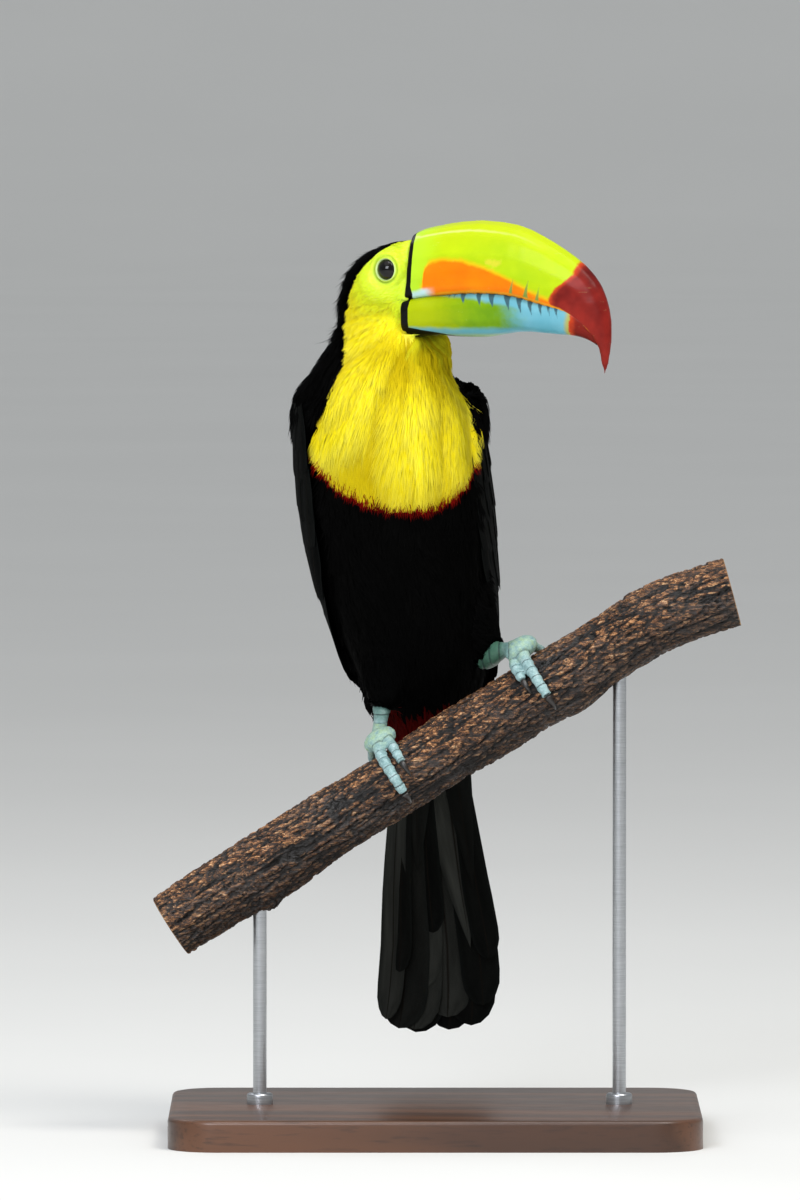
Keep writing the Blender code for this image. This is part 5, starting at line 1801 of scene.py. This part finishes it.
def bevel_edges(obj, chosen, width, segments):
    """Bevels the edges for which chosen(first end, second end) is true."""
    verts = obj.data.vertices
    flags = [bool(chosen(verts[edge.vertices[0]].co, verts[edge.vertices[1]].co)) for edge in obj.data.edges]
    edit_mode(obj, False)
    bpy.ops.mesh.select_mode(type="EDGE")
    object_mode()
    obj.data.edges.foreach_set("select", flags)
    bpy.ops.object.mode_set(mode="EDIT")
    bpy.ops.mesh.bevel(offset=width, segments=segments, affect="EDGES")
    object_mode()


HAIR = 1e-5
bevel_edges(slab, lambda a, b: abs(a.z - b.z) > HAIR, CORNER, 14)
bevel_edges(slab, lambda a, b: min(a.z, b.z) > high.z - HAIR, TOP_EDGE, 4)
bpy.ops.object.shade_smooth_by_angle(angle=math.radians(30))
print("slab:", [round(s * 1000, 1) for s in size], "mm")

# %% Rods with collars
COLLAR_RADIUS, COLLAR_HEIGHT, COLLAR_EDGE = 0.0058, 0.005, 0.0012
ROD_SIDES = 40


def make_rod(side):
    rod_low, rod_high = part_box(f"stand_rod_{side}")
    middle, radius = (rod_low + rod_high) / 2, (rod_high.x - rod_low.x) / 2
    bpy.ops.mesh.primitive_cylinder_add(vertices=ROD_SIDES, radius=COLLAR_RADIUS, depth=COLLAR_HEIGHT,
                                        location=(middle.x, middle.y, high.z + COLLAR_HEIGHT / 2))
    collar = bpy.context.object
    bpy.ops.object.transform_apply()
    bevel_edges(collar, lambda a, b: min(a.z, b.z) > high.z + COLLAR_HEIGHT - HAIR, COLLAR_EDGE, 4)
    bpy.ops.mesh.primitive_cylinder_add(vertices=ROD_SIDES, radius=radius, depth=rod_high.z - rod_low.z,
                                        location=middle)
    rod = bpy.context.object
    rod.name = f"steel_rod_{side}"
    bpy.ops.object.transform_apply()
    collar.select_set(True)
    bpy.ops.object.join()
    bpy.ops.object.shade_smooth_by_angle(angle=math.radians(40))
    return rod


rods = {side: make_rod(side) for side in ("left", "right")}
print("rods:", [rod.name for rod in rods.values()])

# %% [markdown]
# Stained walnut has long wavy grain lines and small dark pores under a thin satin varnish. The steel is
# brushed round the rod, so its fine lines run across it and soften the highlight.

# %% Walnut and steel
material, add = new_material("stained_walnut", {"Coat Weight": 0.3, "Coat Roughness": 0.25})
place = add("TexCoord", out=3)
grain = add("Mapping", {"Vector": place, "Scale": (0.12, 1.0, 1.0)})
warp = add("TexNoise", {"Vector": grain, "Scale": per_mm(26.0), "Detail": 3.0})
lines = add("TexWave", {"Vector": grain, "Scale": per_mm(120.0), "Distortion": 14.0,
                                        "Detail": 3.0, "Detail Scale": 1.5}, out=1, bands_direction="Y")
pores = add("TexNoise", {"Vector": grain, "Scale": per_mm(1.6), "Detail": 4.0})
colour = add("ValToRGB", {"Fac": lines},
             stops=((0.2, "#3a2417"), (0.6, "#5e3d27"), (0.95, "#72492e")))
colour = add(links={0: warp, A: colour, B: "#4a2e1d"}, **COLOUR_MIX)
dark = add("MapRange", {"Value": pores, "From Min": 0.55, "From Max": 0.75, "To Max": 0.55})
colour = add(links={0: dark, A: colour, B: "#1e120b"}, **COLOUR_MIX)
rough = add("MapRange", {"Value": pores, "To Min": 0.32, "To Max": 0.5})
raised = add("Bump", {"Height": pores, "Strength": 0.15, "Distance": 0.1 * MM})
walnut = finished(material, Base_Color=colour, Roughness=rough, Normal=raised)
finish_piece(slab, walnut, "base_wood", "stand_base")

material, add = new_material("brushed_steel", {"Metallic": 1.0})
place = add("TexCoord", out=3)
grain = add("Mapping", {"Vector": place, "Scale": (1.0, 1.0, 30.0)})
brush = add("TexNoise", {"Vector": grain, "Scale": per_mm(9.0), "Detail": 3.0})
colour = add("ValToRGB", {"Fac": brush}, stops=((0.3, "#a9acb0"), (0.7, "#c3c6c9")))
rough = add("MapRange", {"Value": brush, "To Min": 0.22, "To Max": 0.42})
steel = finished(material, Base_Color=colour, Roughness=rough)
for side, rod in rods.items():
    finish_piece(rod, steel, "rod_steel", f"stand_rod_{side}")

# %% [markdown]
# ## Stage, light and camera
# A pale sweep of paper, flat under the stand and curved up far away, so that no horizon shows. It is a round
# bowl, wider than the camera's distance, so the bird can be looked at from any side. One profile is turned
# round the middle and shaded smooth, which is simpler than bending a sheet for each side.

# %% Paper sweep
PAPER_RADIUS, BEND_RADIUS = 18.0, 5.0
BEND_STEPS, TURN_STEPS = 16, 128

bend = [math.pi / 2 * k / BEND_STEPS for k in range(BEND_STEPS + 1)]
profile = [(1.0, 0.0), (3.0, 0.0), (5.0, 0.0)]
profile += [(PAPER_RADIUS + BEND_RADIUS * (math.sin(t) - 1), BEND_RADIUS * (1 - math.cos(t))) for t in bend]
turns = [2 * math.pi * k / TURN_STEPS for k in range(TURN_STEPS)]
corners = [(r * math.cos(turn), r * math.sin(turn), z) for r, z in profile for turn in turns]
quads = [tuple(range(TURN_STEPS))]
for ring in range(len(profile) - 1):
    for k in range(TURN_STEPS):
        a, b = ring * TURN_STEPS + k, ring * TURN_STEPS + (k + 1) % TURN_STEPS
        quads.append((a, a + TURN_STEPS, b + TURN_STEPS, b))
paper = bpy.data.meshes.new("paper_sweep")
paper.from_pydata(corners, [], quads)
floor = new_piece("floor", paper)
shade_round(floor)
print("paper sweep faces:", len(quads))

# %% Paper material
material, add = new_material("studio_paper", {"Roughness": 0.8, "Specular IOR Level": 0.1})
place = add("TexCoord", out=3)
cloud = add("TexNoise", {"Vector": place, "Scale": per_mm(400.0)})
colour = add("ValToRGB", {"Fac": cloud}, stops=((0.3, "#e6e7e5"), (0.7, "#e8e9e7")))
floor.data.materials.append(finished(material, Base_Color=colour))


# %% [markdown]
# The lamps are large, soft boxes, as for a museum's record pictures: a warm key from the upper right, a wide
# fill from the front left, a box overhead and a weak rim light behind. A very soft sun from above and a pale
# surround lift the shadows, because black feathers show no form in hard light.

# %% Lamps
def softbox(name, place, aim, size, watts, colour="#ffffff"):
    lamp = bpy.data.lights.new(name, "AREA")
    lamp.shape = "RECTANGLE"
    lamp.size, lamp.size_y = size
    lamp.energy = watts
    lamp.color = srgb(colour)[:3]
    holder = new_piece(name, lamp)
    holder.location = place
    holder.rotation_euler = (Vector(aim) - Vector(place)).to_track_quat("-Z", "Y").to_euler()
    return holder


BIRD_MIDDLE = (-0.01, 0.0, 0.28)
softbox("key_light", (1.1, -1.15, 2.45), BIRD_MIDDLE, (1.1, 1.1), 36, "#fffaf2")
softbox("fill_light", (-0.7, -2.1, 1.35), BIRD_MIDDLE, (1.1, 1.1), 35, "#f6f8ff")
softbox("overhead_box", (0.05, -0.55, 2.5), BIRD_MIDDLE, (0.9, 0.9), 8, "#ffffff")
softbox("rim_light", (-0.9, 1.1, 1.5), BIRD_MIDDLE, (0.5, 0.5), 3, "#f4f8ff")

sky = bpy.data.lights.new("overhead_light", "SUN")
sky.energy, sky.angle = 0.33, math.radians(50)
overhead = new_piece("overhead_light", sky)
overhead.rotation_euler = (math.radians(18), math.radians(-14), 0)

world = bpy.data.worlds.new("studio")
bpy.context.scene.world = world
world.use_nodes = True
world.node_tree.nodes["Background"].inputs["Color"].default_value = srgb("#e9ebee")
world.node_tree.nodes["Background"].inputs["Strength"].default_value = 0.48
bpy.context.scene.view_settings.view_transform = "Standard"

# %% [markdown]
# The lens is long and far away, so the bird is seen almost without perspective, from a little above the
# floor. A nearer, shorter lens would swell the bill's near side.

# %% Camera
AIM = Vector((-15.6, 0.0, 238.7)) * MM
CAMERA_DISTANCE, CAMERA_HEIGHT_ANGLE = 6.0, math.radians(3.0)
lens = bpy.data.cameras.new("camera")
lens.lens, lens.sensor_width = 405.0, 36.0
lens.clip_end = 100.0
camera = new_piece("camera", lens)
reach = Vector((0, -math.cos(CAMERA_HEIGHT_ANGLE), math.sin(CAMERA_HEIGHT_ANGLE))) * CAMERA_DISTANCE
camera.location = AIM + reach
camera.rotation_euler = (-reach).to_track_quat("-Z", "Y").to_euler()
bpy.context.scene.camera = camera
print("camera:", [round(c, 2) for c in camera.location])
